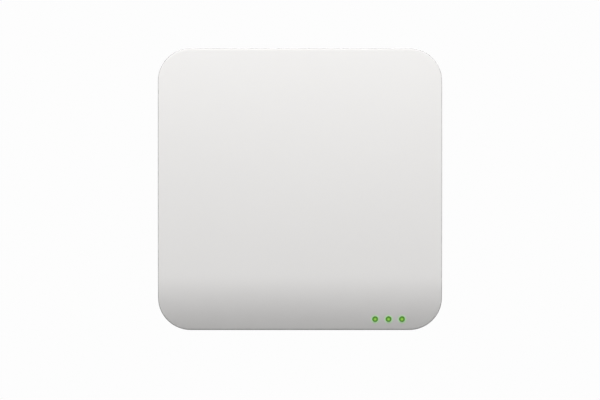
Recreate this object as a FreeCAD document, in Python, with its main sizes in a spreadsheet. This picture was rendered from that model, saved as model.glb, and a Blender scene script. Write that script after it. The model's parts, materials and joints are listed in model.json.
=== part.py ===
import FreeCAD, Part
import os
import re
import Sketcher

# Ceiling access point: a rounded-square radio that hangs on a steel mounting plate.
# The frame has +Z up and +X to the right. The face looks along -Y, and the plate's back lies on
# the plane Y = 0, so every "depth" below is a distance from that plane towards the face (-Y).

# ---------------------------------------------------------------- driving sizes, in millimetres
SIZES = {
    # whole unit
    "case_width": 171.0,
    "case_height": 170.0,
    "case_depth": 36.0,
    "corner_radius": 19.5,
    # front cover
    "cover_wall": 2.2,
    "face_radius": 1800.0,
    "face_crest": 10.0,
    "chin_length": 32.4,
    "chin_radius": 89.0,
    "rim_radius": 0.5,
    # rear housing
    "parting_depth": 12.0,
    "parting_gap": 0.7,
    "tongue_rise": 3.2,
    "tongue_wall": 1.4,
    "lip_clearance": 0.3,
    "rear_step": 0.5,
    "rear_shoulder": 2.4,
    "rear_shoulder_rise": 3.5,
    "rear_taper": 6.5,
    "rear_inner_taper": 3.6,
    "rear_inner_shoulder": 1.08,
    "rear_edge_radius": 1.0,
    "rear_wall": 2.2,
    "ceiling_gap": 1.5,
    # mounting plate
    "plate_width": 112.0,
    "plate_height": 112.0,
    "plate_corner": 6.0,
    "plate_sheet": 1.5,
    "flange_standoff": 3.5,
    "strip_width": 76.0,
    "cable_hole_width": 36.0,
    "cable_hole_top": 14.0,
    "cable_hole_bottom": -36.0,
    "cable_hole_corner": 5.0,
    "anchor_spacing_x": 56.0,
    "anchor_spacing_z": 92.0,
    "anchor_hole": 4.6,
    "box_slot_spacing": 86.1,
    "box_slot_length": 2.8,
    "box_slot_width": 4.4,
    "round_box_spacing": 60.0,
    "recess_gap": 0.4,
    "recess_margin": 1.0,
    "recess_corner": 7.0,
    "recess_drop": 2.5,
    # keyholes and the studs that hang in them
    "stud_spacing_x": 94.0,
    "stud_spacing_z": 72.0,
    "lift_travel": 9.0,
    "stud_head": 8.0,
    "stud_head_thick": 1.5,
    "stud_neck": 4.0,
    "stud_shank": 3.0,
    "stud_shank_length": 6.0,
    "stud_insert_wall": 1.1,
    "stud_play": 0.4,
    "keyhole_play": 0.4,
    "stud_boss": 8.6,
    # security screw and its tab
    "lock_x": 15.0,
    "lock_depth": 6.5,
    "lock_tab_width": 12.0,
    "lock_tab_rise": 9.6,
    "lock_bush": 5.2,
    "lock_bush_length": 3.2,
    "lock_screw": 2.8,
    "lock_screw_head": 5.4,
    "lock_screw_head_length": 2.6,
    "lock_screw_drive": 2.7,
    "lock_screw_drive_length": 1.7,
    "lock_screw_travel": 4.5,
    "lock_tip_gap": 1.2,
    "lock_tunnel": 9.0,
    "lock_seat_wall": 2.4,
    "lock_pocket_room": 2.0,
    # port bay, cable channel and vents
    "bay_width": 34.0,
    "bay_top": 13.0,
    "bay_bottom": -36.0,
    "bay_depth": 19.8,
    "bay_wall": 1.6,
    "channel_width": 9.0,
    "channel_depth": 9.5,
    "vent_slot_length": 11.0,
    "vent_slot_width": 1.8,
    "vent_pitch": 4.5,
    "vent_inset": 18.0,
    "vent_count": 15.0,
    # screws that close the case
    "case_screw_inset_x": 15.5,
    "case_screw_inset_z": 19.0,
    "case_seat_depth": 13.5,
    "case_boss": 8.4,
    "case_screw": 2.8,
    "case_screw_head": 5.6,
    "case_screw_head_thick": 2.2,
    "case_screw_drive": 2.24,
    "case_screw_drive_depth": 1.1,
    "case_screw_length": 10.0,
    "case_counterbore_wall": 2.5,
    "case_insert": 4.6,
    "case_insert_length": 6.0,
    # main board
    "board_gap_side": 10.5,
    "board_gap_top": 10.0,
    "board_gap_bottom": 13.0,
    "board_depth": 21.8,
    "board_sheet": 1.6,
    "board_notch": 6.4,
    "board_screw_inset_x": 19.5,
    "board_screw_inset_z": 38.0,
    "board_screw": 2.6,
    "board_screw_head": 5.0,
    "board_screw_head_thick": 1.9,
    "board_screw_length": 8.0,
    "standoff": 7.0,
    # network jack
    "jack_width": 16.2,
    "jack_height": 13.4,
    "jack_length": 21.5,
    "jack_nose": 0.4,
    "jack_skin": 0.3,
    "plug_width": 11.9,
    "plug_height": 6.9,
    "plug_length": 14.0,
    "plug_floor": 3.0,
    "plug_latch_width": 6.4,
    "plug_latch_height": 2.6,
    "contact_pitch": 1.02,
    "contact_width": 0.45,
    "contact_sheet": 0.4,
    "contact_lift": 0.2,
    "contact_setback": 2.0,
    "contact_reach": 2.0,
    "contact_room": 8.6,
    # network transformer, power parts
    "magnetics_width": 16.0,
    "magnetics_length": 12.7,
    "magnetics_rise": 6.0,
    "magnetics_gap": 5.55,
    "power_x": 29.0,
    "power_z": 34.0,
    "core_width": 20.0,
    "core_length": 12.0,
    "core_rise": 10.0,
    "core_yoke": 2.5,
    "core_window": 4.0,
    "core_leg": 6.0,
    "winding_length": 16.0,
    "bulk_base": 8.4,
    "bulk_base_rise": 1.6,
    "bulk_can": 8.0,
    "bulk_rise": 10.0,
    "bulk_x": 24.0,
    "bulk_z": 26.0,
    "bulk_pitch": 12.0,
    "bulk_third_x": 10.0,
    "bulk_third_z": 4.0,
    "inductor_size": 7.0,
    "inductor_rise": 4.0,
    "inductor_x": 33.5,
    "inductor_z": 12.0,
    "inductor_pitch": 11.0,
    # status lights
    "light_inset": 32.0,
    "light_pitch": 8.1,
    "light_edge": 6.7,
    "light_pipe": 3.4,
    "light_proud": 0.25,
    "light_tab_width": 25.0,
    "light_tab_foot": 2.5,
    "light_tab_root": 3.0,
    "light_chip_width": 2.0,
    "light_chip_height": 1.25,
    "light_chip_thick": 0.8,
    "mask_side": 0.5,
    "mask_below": 2.2,
    "mask_above": 2.4,
    "mask_rise": 0.4,
    "mask_window": 3.2,
    "pipe_bar_side": 1.5,
    "pipe_bar_below": 2.0,
    "pipe_bar_above": 2.2,
    "pipe_bar_gap": 1.58,
    "pipe_root": 0.5,
    # radio parts
    "patch_size": 42.0,
    "patch_sheet": 0.8,
    "patch_snip": 5.25,
    "patch_inset_x": 41.5,
    "patch_inset_z": 41.0,
    "patch_rise": 6.0,
    "post_size": 4.0,
    "post_inset": 5.88,
    "feed_pin": 1.2,
    "feed_offset": 8.4,
    "can_z": 40.0,
    "can_width": 30.0,
    "can_height": 32.0,
    "can_rise": 3.4,
    "can_sheet": 0.3,
    "lid_lift": 0.8,
    "radio_size": 7.0,
    "radio_thick": 0.9,
    "radio_x": 7.0,
    "processor_z": -10.0,
    "processor_size": 17.0,
    "processor_thick": 1.4,
    "thermal_pad_size": 16.0,
    "thermal_pad_thick": 1.0,
    "spreader_size": 38.0,
    "spreader_sheet": 1.5,
    "spreader_foot": 6.0,
    "memory_z": -42.0,
    "memory_width": 9.0,
    "memory_length": 13.0,
    "memory_thick": 1.1,
    "chip_x": 23.0,
    "chip_z": -26.0,
    "chip_length": 1.6,
    "chip_width": 0.8,
    "chip_rise": 0.8,
    "chip_pitch": 3.0,
    "chip_count": 9.0,
    # reset switch
    "reset_x": 28.0,
    "reset_z": 8.0,
    "reset_hole": 2.2,
    "switch_size": 6.0,
    "switch_rise": 3.5,
    "plunger": 3.2,
    "plunger_reach": 1.5,
    "plunger_seat": 1.5,
    "reset_travel": 0.3,
    # running clearances
    "fit_gap": 0.1,
    "seat_gap": 0.3,
    # how far a cutting form runs past the face it opens
    "overrun": 1.0,
}

# Places that follow from the sizes. Each is a formula, and a formula may use another one.
PLACES = {
    "half_width": "case_width / 2",
    "half_height": "case_height / 2",
    "face_centre": "face_radius - case_depth",
    "chin_top": "chin_length - half_height",
    "chin_sine": "(face_crest - chin_top) / face_radius",
    "chin_cosine": "sqrt(1 - chin_sine * chin_sine)",
    "chin_centre": "face_centre - (face_radius - chin_radius) * chin_cosine",
    "chin_centre_z": "chin_top + chin_radius * chin_sine",
    "cover_edge": "parting_depth + parting_gap",
    "strip_half": "strip_width / 2",
    "flange_front": "flange_standoff + plate_sheet",
    "recess_depth": "flange_front + recess_gap",
    "recess_inner": "recess_depth + rear_wall",
    "recess_half": "plate_width / 2 + recess_margin",
    "recess_top": "plate_height / 2 + recess_margin",
    "recess_bottom": "0 - plate_height / 2 - lift_travel - recess_drop",
    "floor_inner": "ceiling_gap + rear_wall",
    "stud_x": "stud_spacing_x / 2",
    "stud_z": "stud_spacing_z / 2",
    "slot_radius": "stud_neck / 2 + keyhole_play / 2",
    "entry_radius": "stud_head / 2 + keyhole_play",
    "stud_boss_top": "recess_depth + stud_shank_length + rear_wall",
    "plate_bottom": "0 - plate_height / 2",
    "lock_pocket_depth": "lock_tab_rise + 2 * seat_gap",
    "tab_middle": "plate_bottom + plate_sheet / 2",
    "lock_tip": "tab_middle - lock_bush_length / 2 - lock_tip_gap",
    "lock_pocket_top": "tab_middle + lock_bush_length / 2 + lock_pocket_room",
    "lock_seat": "recess_bottom - lock_seat_wall",
    "lock_head_top": "lock_seat - lock_screw_travel - seat_gap",
    "vent_x": "half_width - vent_inset",
    "case_screw_x": "half_width - case_screw_inset_x",
    "case_screw_z": "half_height - case_screw_inset_z",
    "board_side": "half_width - board_gap_side",
    "board_top": "half_height - board_gap_top",
    "board_bottom": "board_gap_bottom - half_height",
    "board_screw_x": "half_width - board_screw_inset_x",
    "board_screw_z": "half_height - board_screw_inset_z",
    "board_front": "board_depth + board_sheet",
    "jack_low": "bay_top - jack_nose",
    "jack_high": "jack_low + jack_length",
    "jack_back": "board_depth - jack_height",
    "plug_far": "board_depth - plug_floor",
    "plug_near": "plug_far - plug_height",
    "magnetics_z": "jack_high + magnetics_gap + magnetics_length / 2",
    "light_x": "half_width - light_inset",
    "light_z": "light_edge - half_height",
    "mask_top": "board_front + light_chip_thick + mask_rise",
    "light_tab_half": "light_tab_width / 2",
    "light_fall": "chin_centre_z - light_z",
    "light_face": "sqrt(chin_radius * chin_radius - light_fall * light_fall) - chin_centre",
    "pipe_bar_top": "light_face - cover_wall - pipe_bar_gap",
    "case_head_seat": "case_seat_depth - case_counterbore_wall",
    "patch_x": "half_width - patch_inset_x",
    "patch_z": "half_height - patch_inset_z",
    "patch_depth": "board_front + patch_rise",
    "processor_front": "board_front + processor_thick",
    "spreader_depth": "processor_front + thermal_pad_thick",
    "plunger_tip": "board_depth - switch_rise - plunger_reach",
    "plunger_base": "board_depth - plunger_seat",
}

doc = FreeCAD.newDocument("ceiling_access_point")
sheet = doc.addObject("Spreadsheet::Sheet", "sizes")
for row, (alias, size) in enumerate(SIZES.items(), start=1):
    sheet.set(f"A{row}", alias)
    sheet.set(f"B{row}", str(size))
    sheet.setAlias(f"B{row}", alias)
doc.recompute()

NODES = []
WORD = re.compile(r"[a-z][a-z_]*")


# ---------------------------------------------------------------- formulas
def tied(formula):
    """The formula as an expression: places opened up, and sizes pointing at their cells."""
    def swap(found):
        word = found.group()
        if word in PLACES:
            return "(" + tied(PLACES[word]) + ")"
        return "sizes." + word if word in SIZES else word
    return WORD.sub(swap, formula)


def number(formula):
    """The value that the formula has now, in millimetres."""
    def swap(found):
        word = found.group()
        if word in PLACES:
            return f"({number(PLACES[word]):.9f})"
        return repr(SIZES[word]) if word in SIZES else word
    return FreeCAD.Units.Quantity(WORD.sub(swap, formula)).Value


def tie(item, prop, formula):
    item.setExpression(prop, tied(formula))


# ---------------------------------------------------------------- sketch outlines
def fix_point(sketch, shape, end, x, y):
    """Hold one point of a sketch shape at a place given by two formulas."""
    for kind, formula in (("DistanceX", x), ("DistanceY", y)):
        rule = sketch.addConstraint(Sketcher.Constraint(kind, -1, 1, shape, end, number(formula)))
        sketch.setExpression(f"Constraints[{rule}]", tied(formula))


def fix_height(sketch, shape, end, y):
    rule = sketch.addConstraint(Sketcher.Constraint("DistanceY", -1, 1, shape, end, number(y)))
    sketch.setExpression(f"Constraints[{rule}]", tied(y))


def fix_radius(sketch, shape, radius):
    rule = sketch.addConstraint(Sketcher.Constraint("Radius", shape, number(radius)))
    sketch.setExpression(f"Constraints[{rule}]", tied(radius))


def circle(x, y, radius):
    def draw(sketch):
        centre = FreeCAD.Vector(number(x), number(y), 0)
        ring = sketch.addGeometry(Part.Circle(centre, FreeCAD.Vector(0, 0, 1), number(radius)))
        fix_point(sketch, ring, 3, x, y)
        fix_radius(sketch, ring, radius)
    return draw


def polygon(points):
    """A closed outline of straight lines through corners given as pairs of formulas."""
    def draw(sketch):
        corners = [FreeCAD.Vector(number(x), number(y), 0) for x, y in points]
        lines = []
        for start, end in zip(corners, corners[1:] + corners[:1]):
            lines.append(sketch.addGeometry(Part.LineSegment(start, end)))
        for place, line in enumerate(lines):
            follower = lines[(place + 1) % len(lines)]
            sketch.addConstraint(Sketcher.Constraint("Coincident", line, 2, follower, 1))
            fix_point(sketch, line, 1, points[place][0], points[place][1])
    return draw


def rectangle(left, right, low, high):
    return polygon([(left, low), (right, low), (right, high), (left, high)])


def turned_outline(centres, radius):
    """Arcs round the given centres, taken anticlockwise, joined by their common tangents."""
    def draw(sketch):
        middle = [FreeCAD.Vector(number(x), number(y), 0) for x, y in centres]
        size = number(radius)
        count = len(middle)
        normals = []
        for place in range(count):
            along = middle[(place + 1) % count] - middle[place]
            along.normalize()
            normals.append(FreeCAD.Vector(along.y, -along.x, 0))
        arcs = []
        lines = []
        for place in range(count):
            full = Part.Circle(middle[place], FreeCAD.Vector(0, 0, 1), size)
            first = full.parameter(middle[place] + normals[place - 1] * size)
            last = full.parameter(middle[place] + normals[place] * size)
            arcs.append(sketch.addGeometry(Part.ArcOfCircle(full, first, last)))
        for place in range(count):
            start = middle[place] + normals[place] * size
            end = middle[(place + 1) % count] + normals[place] * size
            lines.append(sketch.addGeometry(Part.LineSegment(start, end)))
        for place in range(count):
            following = arcs[(place + 1) % count]
            sketch.addConstraint(Sketcher.Constraint("Tangent", arcs[place], 2, lines[place], 1))
            sketch.addConstraint(Sketcher.Constraint("Tangent", lines[place], 2, following, 1))
        for place in range(count):
            fix_point(sketch, arcs[place], 3, centres[place][0], centres[place][1])
            if place:
                sketch.addConstraint(Sketcher.Constraint("Equal", arcs[0], arcs[place]))
        fix_radius(sketch, arcs[0], radius)
    return draw


def rounded(left, right, low, high, radius):
    near = f"{left} + {radius}"
    far = f"{right} - ({radius})"
    down = f"{low} + {radius}"
    up = f"{high} - ({radius})"
    return turned_outline([(near, down), (far, down), (far, up), (near, up)], radius)


def slot(x, low, high, radius):
    return turned_outline([(x, low), (x, high)], radius)


# ---------------------------------------------------------------- features of a body
def new_body(label):
    body = doc.addObject("PartDesign::Body", label)
    body.Label = label
    body.AllowCompound = True
    return body


def new_sketch(body, name, offset, outlines, plane="XZ_Plane"):
    """A sketch on one of the body's own planes, moved along that plane's normal."""
    sketch = body.newObject("Sketcher::SketchObject", name)
    support = [item for item in body.Origin.OriginFeatures if item.Role == plane][0]
    sketch.AttachmentSupport = [(support, "")]
    sketch.MapMode = "FlatFace"
    tie(sketch, "AttachmentOffset.Base.z", offset)
    for draw in outlines:
        draw(sketch)
    return sketch


def pad(body, name, offset, length, outlines, plane="XZ_Plane"):
    feature = body.newObject("PartDesign::Pad", name)
    feature.Profile = new_sketch(body, name + "_outline", offset, outlines, plane)
    tie(feature, "Length", length)
    return feature


def cut(body, name, offset, length, outlines, plane="XZ_Plane"):
    """A pocket that runs from its sketch along the plane's normal."""
    feature = body.newObject("PartDesign::Pocket", name)
    feature.Profile = new_sketch(body, name + "_outline", offset, outlines, plane)
    feature.Reversed = True
    tie(feature, "Length", length)
    return feature


def repeat(body, name, features, role, spacing, count):
    """Copies of some features along one of the body's own axes."""
    doc.recompute()
    pattern = body.newObject("PartDesign::LinearPattern", name)
    pattern.Originals = features
    axis = [item for item in body.Origin.OriginFeatures if item.Role == role][0]
    pattern.Direction = (axis, [""])
    pattern.Mode = "Spacing"
    tie(pattern, "Offset", spacing)
    tie(pattern, "Occurrences", count)
    body.Tip = pattern
    return pattern


# ---------------------------------------------------------------- plain solids
def block(name, left, right, near, far, low, high):
    """A box between two X values, two depths and two heights."""
    item = doc.addObject("Part::Box", name)
    tie(item, "Length", f"({right}) - ({left})")
    tie(item, "Width", f"({far}) - ({near})")
    tie(item, "Height", f"({high}) - ({low})")
    tie(item, "Placement.Base.x", left)
    tie(item, "Placement.Base.y", f"0 - ({far})")
    tie(item, "Placement.Base.z", low)
    return item


def centred(name, x, z, width, height, near, far):
    """A box with its middle at one place on the board."""
    return block(name, f"{x} - ({width}) / 2", f"{x} + ({width}) / 2", near, far,
                 f"{z} - ({height}) / 2", f"{z} + ({height}) / 2")


def rod(name, x, z, radius, near, far):
    """A cylinder that points out of the ceiling, between two depths."""
    item = doc.addObject("Part::Cylinder", name)
    item.Placement = FreeCAD.Placement(FreeCAD.Vector(), FreeCAD.Rotation(FreeCAD.Vector(1, 0, 0), 90))
    tie(item, "Radius", radius)
    tie(item, "Height", f"({far}) - ({near})")
    tie(item, "Placement.Base.x", x)
    tie(item, "Placement.Base.y", f"0 - ({near})")
    tie(item, "Placement.Base.z", z)
    return item


def upright(name, x, depth, radius, low, high):
    """A cylinder along +Z, between two heights."""
    item = doc.addObject("Part::Cylinder", name)
    tie(item, "Radius", radius)
    tie(item, "Height", f"({high}) - ({low})")
    tie(item, "Placement.Base.x", x)
    tie(item, "Placement.Base.y", f"0 - ({depth})")
    tie(item, "Placement.Base.z", low)
    return item


def joined(label, items):
    item = doc.addObject("Part::MultiFuse", label)
    item.Label = label
    item.Shapes = items
    return item


def grouped(label, items):
    item = doc.addObject("Part::Compound", label)
    item.Label = label
    item.Links = items
    return item


def minus(label, base, tool):
    item = doc.addObject("Part::Cut", label)
    item.Label = label
    item.Base = base
    item.Tool = tool
    return item


def node(item, label):
    item.Label = label
    NODES.append(item)
    return item


CORNERS = [("right_top", "", ""), ("left_top", "0 - ", ""),
           ("right_low", "", "0 - "), ("left_low", "0 - ", "0 - ")]


# ---------------------------------------------------------------- mounting plate
def mounting_plate():
    plate = new_body("mounting_plate")
    edge = "plate_width / 2"
    end = "plate_height / 2"
    inner = "strip_half - plate_sheet"
    pad(plate, "flanges", "flange_standoff", "plate_sheet",
        [rounded(f"0 - {edge}", edge, f"0 - {end}", end, "plate_corner")])
    cut(plate, "flange_window", "flange_standoff", "plate_sheet",
        [rectangle(f"0 - ({inner})", inner, f"0 - {end} - overrun", f"{end} + overrun")])
    pad(plate, "webs", "0", "flange_front",
        [rectangle(inner, "strip_half", f"0 - {end}", end),
         rectangle("0 - strip_half", f"0 - ({inner})", f"0 - {end}", end)])
    pad(plate, "centre_strip", "0", "plate_sheet",
        [rectangle("0 - strip_half", "strip_half", f"0 - {end}", end)])
    pad(plate, "lock_tab", "0", "lock_tab_rise",
        [rectangle("lock_x - lock_tab_width / 2", "lock_x + lock_tab_width / 2",
                   "plate_bottom", "plate_bottom + plate_sheet")])
    cut(plate, "cable_hole", "0", "plate_sheet",
        [rounded("0 - cable_hole_width / 2", "cable_hole_width / 2",
                 "cable_hole_bottom", "cable_hole_top", "cable_hole_corner")])
    anchors = [circle(f"{across}anchor_spacing_x / 2", f"{up}anchor_spacing_z / 2", "anchor_hole / 2")
               for name, across, up in CORNERS]
    cut(plate, "anchor_holes", "0", "plate_sheet", anchors)
    middle = "box_slot_spacing / 2"
    reach = "box_slot_length / 2"
    cut(plate, "box_slots", "0", "plate_sheet",
        [slot("0", f"{middle} - {reach}", f"{middle} + {reach}", "box_slot_width / 2"),
         slot("0", f"0 - {middle} - {reach}", f"0 - {middle} + {reach}", "box_slot_width / 2")])
    cut(plate, "round_box_holes", "0", "plate_sheet",
        [circle("round_box_spacing / 2", "0", "box_slot_width / 2"),
         circle("0 - round_box_spacing / 2", "0", "box_slot_width / 2")])
    necks = []
    entries = []
    for name, across, up in CORNERS:
        necks.append(slot(f"{across}stud_x", f"{up}stud_z", f"{up}stud_z + lift_travel", "slot_radius"))
        entries.append(circle(f"{across}stud_x", f"{up}stud_z + lift_travel", "entry_radius"))
    cut(plate, "keyhole_slots", "flange_standoff", "plate_sheet", necks)
    cut(plate, "keyhole_entries", "flange_standoff", "plate_sheet", entries)
    cut(plate, "bush_hole", "plate_bottom - overrun", "plate_sheet + 2 * overrun",
        [circle("lock_x", "0 - lock_depth", "lock_bush / 2")], plane="XY_Plane")
    return node(plate, "mounting_plate")


def lock_bush():
    low = "tab_middle - lock_bush_length / 2"
    high = "tab_middle + lock_bush_length / 2"
    body = upright("lock_bush_body", "lock_x", "lock_depth", "lock_bush / 2 - fit_gap / 2", low, high)
    bore = upright("lock_bush_bore", "lock_x", "lock_depth", "lock_screw / 2 + seat_gap",
                   f"{low} - overrun", f"{high} + overrun")
    return node(minus("lock_bush_ring", body, bore), "lock_bush")


# ---------------------------------------------------------------- front cover
def outline_at(inset, radius):
    return rounded(f"0 - half_width + {inset}", f"half_width - ({inset})",
                   f"0 - half_height + {inset}", f"half_height - ({inset})", radius)


def side_profile(wall):
    """The cover from the side: a face of very large radius that runs into a chin that curls back."""
    over = "(half_height + 5 * overrun)"

    def draw(sketch):
        reach = number(over)
        face = number(f"face_radius - {wall}")
        chin = number(f"chin_radius - {wall}")
        middle = FreeCAD.Vector(number("face_centre"), number("face_crest"), 0)
        curl = FreeCAD.Vector(number("chin_centre"), number("chin_centre_z"), 0)
        tangent = FreeCAD.Vector(-number("chin_cosine"), -number("chin_sine"), 0)
        meeting = middle + tangent * face
        top = middle + FreeCAD.Vector(-(face ** 2 - (reach - middle.y) ** 2) ** 0.5, reach - middle.y, 0)
        low = curl + FreeCAD.Vector(-(chin ** 2 - (reach + curl.y) ** 2) ** 0.5, -reach - curl.y, 0)
        back = -number("cover_edge")
        axis = FreeCAD.Vector(0, 0, 1)
        large = Part.Circle(middle, axis, face)
        small = Part.Circle(curl, axis, chin)
        front = sketch.addGeometry(Part.ArcOfCircle(large, large.parameter(top), large.parameter(meeting)))
        bend = sketch.addGeometry(Part.ArcOfCircle(small, small.parameter(meeting), small.parameter(low)))
        corners = [low, FreeCAD.Vector(back, -reach, 0), FreeCAD.Vector(back, reach, 0), top]
        lines = [sketch.addGeometry(Part.LineSegment(start, end))
                 for start, end in zip(corners, corners[1:])]
        fix_point(sketch, front, 3, "face_centre", "face_crest")
        fix_radius(sketch, front, f"face_radius - {wall}")
        fix_radius(sketch, bend, f"chin_radius - {wall}")
        sketch.addConstraint(Sketcher.Constraint("Tangent", front, 2, bend, 1))
        fix_height(sketch, front, 2, f"face_crest - (face_radius - {wall}) * chin_sine")
        fix_height(sketch, front, 1, over)
        fix_height(sketch, bend, 2, f"0 - {over}")
        sketch.addConstraint(Sketcher.Constraint("Coincident", bend, 2, lines[0], 1))
        sketch.addConstraint(Sketcher.Constraint("Coincident", lines[0], 2, lines[1], 1))
        sketch.addConstraint(Sketcher.Constraint("Coincident", lines[1], 2, lines[2], 1))
        sketch.addConstraint(Sketcher.Constraint("Coincident", lines[2], 2, front, 1))
        fix_point(sketch, lines[1], 1, "0 - cover_edge", f"0 - {over}")
        fix_point(sketch, lines[1], 2, "0 - cover_edge", over)
    return draw


def cover_form(label, wall):
    """The cover's outside, or, one wall smaller all round, the space inside it."""
    form = new_body(label)
    wide = "(half_width + 5 * overrun)"
    tall = "(half_height + 10 * overrun)"
    pad(form, label + "_profile", f"0 - {wide}", f"2 * {wide}", [side_profile(wall)], plane="YZ_Plane")
    cut(form, label + "_outline", "cover_edge - overrun", "case_depth",
        [rectangle(f"0 - {wide} - overrun", f"{wide} + overrun", f"0 - {tall}", tall),
         outline_at(wall, f"corner_radius - {wall}")])
    return form


def soften(body, name, radius, wanted):
    """A fillet along the edges that a test picks out."""
    doc.recompute()
    base = body.Tip
    names = [f"Edge{place}" for place, edge in enumerate(base.Shape.Edges, start=1) if wanted(edge)]
    fillet = body.newObject("PartDesign::Fillet", name)
    fillet.Base = (base, names)
    tie(fillet, "Radius", radius)
    return fillet


def on_rim(edge):
    """Edges round the face: away from the open back, and not the seam between face and chin."""
    depths = [-corner.Y for corner in edge.Vertexes]
    heights = [corner.Z for corner in edge.Vertexes]
    seam = all(abs(height - number("chin_top")) < 0.01 for height in heights)
    return min(depths) > number("cover_edge") + 1 and not seam


def at_back(edge):
    return all(abs(corner.Y + number("ceiling_gap")) < 0.01 for corner in edge.Vertexes)


def front_cover():
    outside = cover_form("cover_outside", "0")
    soften(outside, "cover_rim", "rim_radius", on_rim)
    inside = cover_form("cover_inside", "cover_wall")
    pad(inside, "open_back", "cover_edge - overrun", "2 * overrun",
        [outline_at("cover_wall", "corner_radius - cover_wall")])
    bosses = []
    bores = []
    for name, across, up in CORNERS:
        x = f"{across}case_screw_x"
        z = f"{up}case_screw_z"
        bosses.append(rod("cover_boss_" + name, x, z, "case_boss / 2", "case_seat_depth", "case_depth"))
        bores.append(rod("cover_insert_bore_" + name, x, z, "case_insert / 2 + fit_gap",
                         "case_seat_depth - overrun", "case_seat_depth + case_insert_length + fit_gap"))
        bores.append(rod("cover_screw_bore_" + name, x, z, "case_screw / 2 + seat_gap",
                         "case_seat_depth", "case_head_seat + case_screw_length + overrun"))
    for place in (-1, 0, 1):
        bores.append(rod(f"light_hole_{place + 1}", f"light_x + {place} * light_pitch", "light_z",
                         "light_pipe / 2 + fit_gap", "light_face - 2 * cover_wall", "case_depth"))
    space = minus("cover_space", inside, joined("cover_bosses", bosses))
    shell = minus("cover_shell", outside, space)
    return node(minus("cover_drilled", shell, joined("cover_bores", bores)), "front_cover")


# ---------------------------------------------------------------- rear housing
def rear_form(label, rows):
    """A shell form lofted through outlines, each given as a depth and an inset."""
    form = new_body(label)
    sketches = []
    for place, (depth, inset) in enumerate(rows):
        sketches.append(new_sketch(form, f"{label}_row_{place}", depth,
                                   [outline_at(f"rear_step + {inset}", f"corner_radius - {inset} / 2")]))
    loft = form.newObject("PartDesign::AdditiveLoft", label + "_loft")
    loft.Profile = sketches[0]
    loft.Sections = sketches[1:]
    return form


def rear_islands():
    """Everything that stands up inside the rear housing, as deep as the parting line."""
    recess_out = "recess_half + rear_wall"
    return [
        block("recess_island", f"0 - ({recess_out})", recess_out, "0", "recess_inner",
              "recess_bottom - rear_wall", "recess_top + rear_wall"),
        block("channel_island", "0 - channel_width / 2 - bay_wall", "channel_width / 2 + bay_wall",
              "0", "channel_depth + bay_wall", "0 - half_height", "bay_bottom"),
        block("lock_island", "lock_x - lock_tab_width / 2 - 2 * seat_gap - bay_wall",
              "lock_x + lock_tab_width / 2 + 2 * seat_gap + bay_wall", "0",
              "lock_pocket_depth + bay_wall", "recess_bottom - bay_wall", "lock_pocket_top + bay_wall"),
        upright("lock_tunnel_wall", "lock_x", "lock_depth", "lock_tunnel / 2", "0 - half_height",
                "recess_bottom"),
    ]


def rear_towers():
    """Bosses, standoffs and the port bay, which stand taller than the parting line."""
    towers = [block("bay_box", "0 - bay_width / 2 - bay_wall", "bay_width / 2 + bay_wall", "recess_depth",
                    "bay_depth + bay_wall", "bay_bottom - bay_wall", "bay_top + bay_wall")]
    for name, across, up in CORNERS:
        towers.append(rod("stud_boss_" + name, f"{across}stud_x", f"{up}stud_z", "stud_boss / 2",
                          "recess_depth + fit_gap", "stud_boss_top"))
        towers.append(rod("case_tower_" + name, f"{across}case_screw_x", f"{up}case_screw_z",
                          "case_boss / 2", "ceiling_gap + fit_gap", "case_seat_depth"))
        towers.append(rod("standoff_" + name, f"{across}board_screw_x", f"{up}board_screw_z",
                          "standoff / 2", "ceiling_gap + fit_gap", "board_depth"))
    return towers


def tongue():
    """The lip that guides the cover on to the rear housing."""
    ring = new_body("tongue")
    reach = "cover_wall + lip_clearance"
    inner = "cover_wall + lip_clearance + tongue_wall"
    pad(ring, "tongue_ring", "parting_depth - tongue_rise", "2 * tongue_rise",
        [outline_at(reach, f"corner_radius - ({reach})"), outline_at(inner, f"corner_radius - ({inner})")])
    return ring


def vent_tool():
    """Two columns of slots through the back, one each side of the plate."""
    tool = new_body("vent_tool")
    reach = "(vent_slot_length - vent_slot_width) / 2"
    first = "0 - vent_pitch * (vent_count - 1) / 2"
    outlines = []
    for side in ("", "0 - "):
        ends = [(f"{side}vent_x - {reach}", first), (f"{side}vent_x + {reach}", first)]
        outlines.append(turned_outline(ends, "vent_slot_width / 2"))
    slots = pad(tool, "vent_pair", "ceiling_gap - overrun", "rear_wall + 2 * overrun", outlines)
    repeat(tool, "vent_column", [slots], "Z_Axis", "vent_pitch", "vent_count")
    return tool


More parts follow.
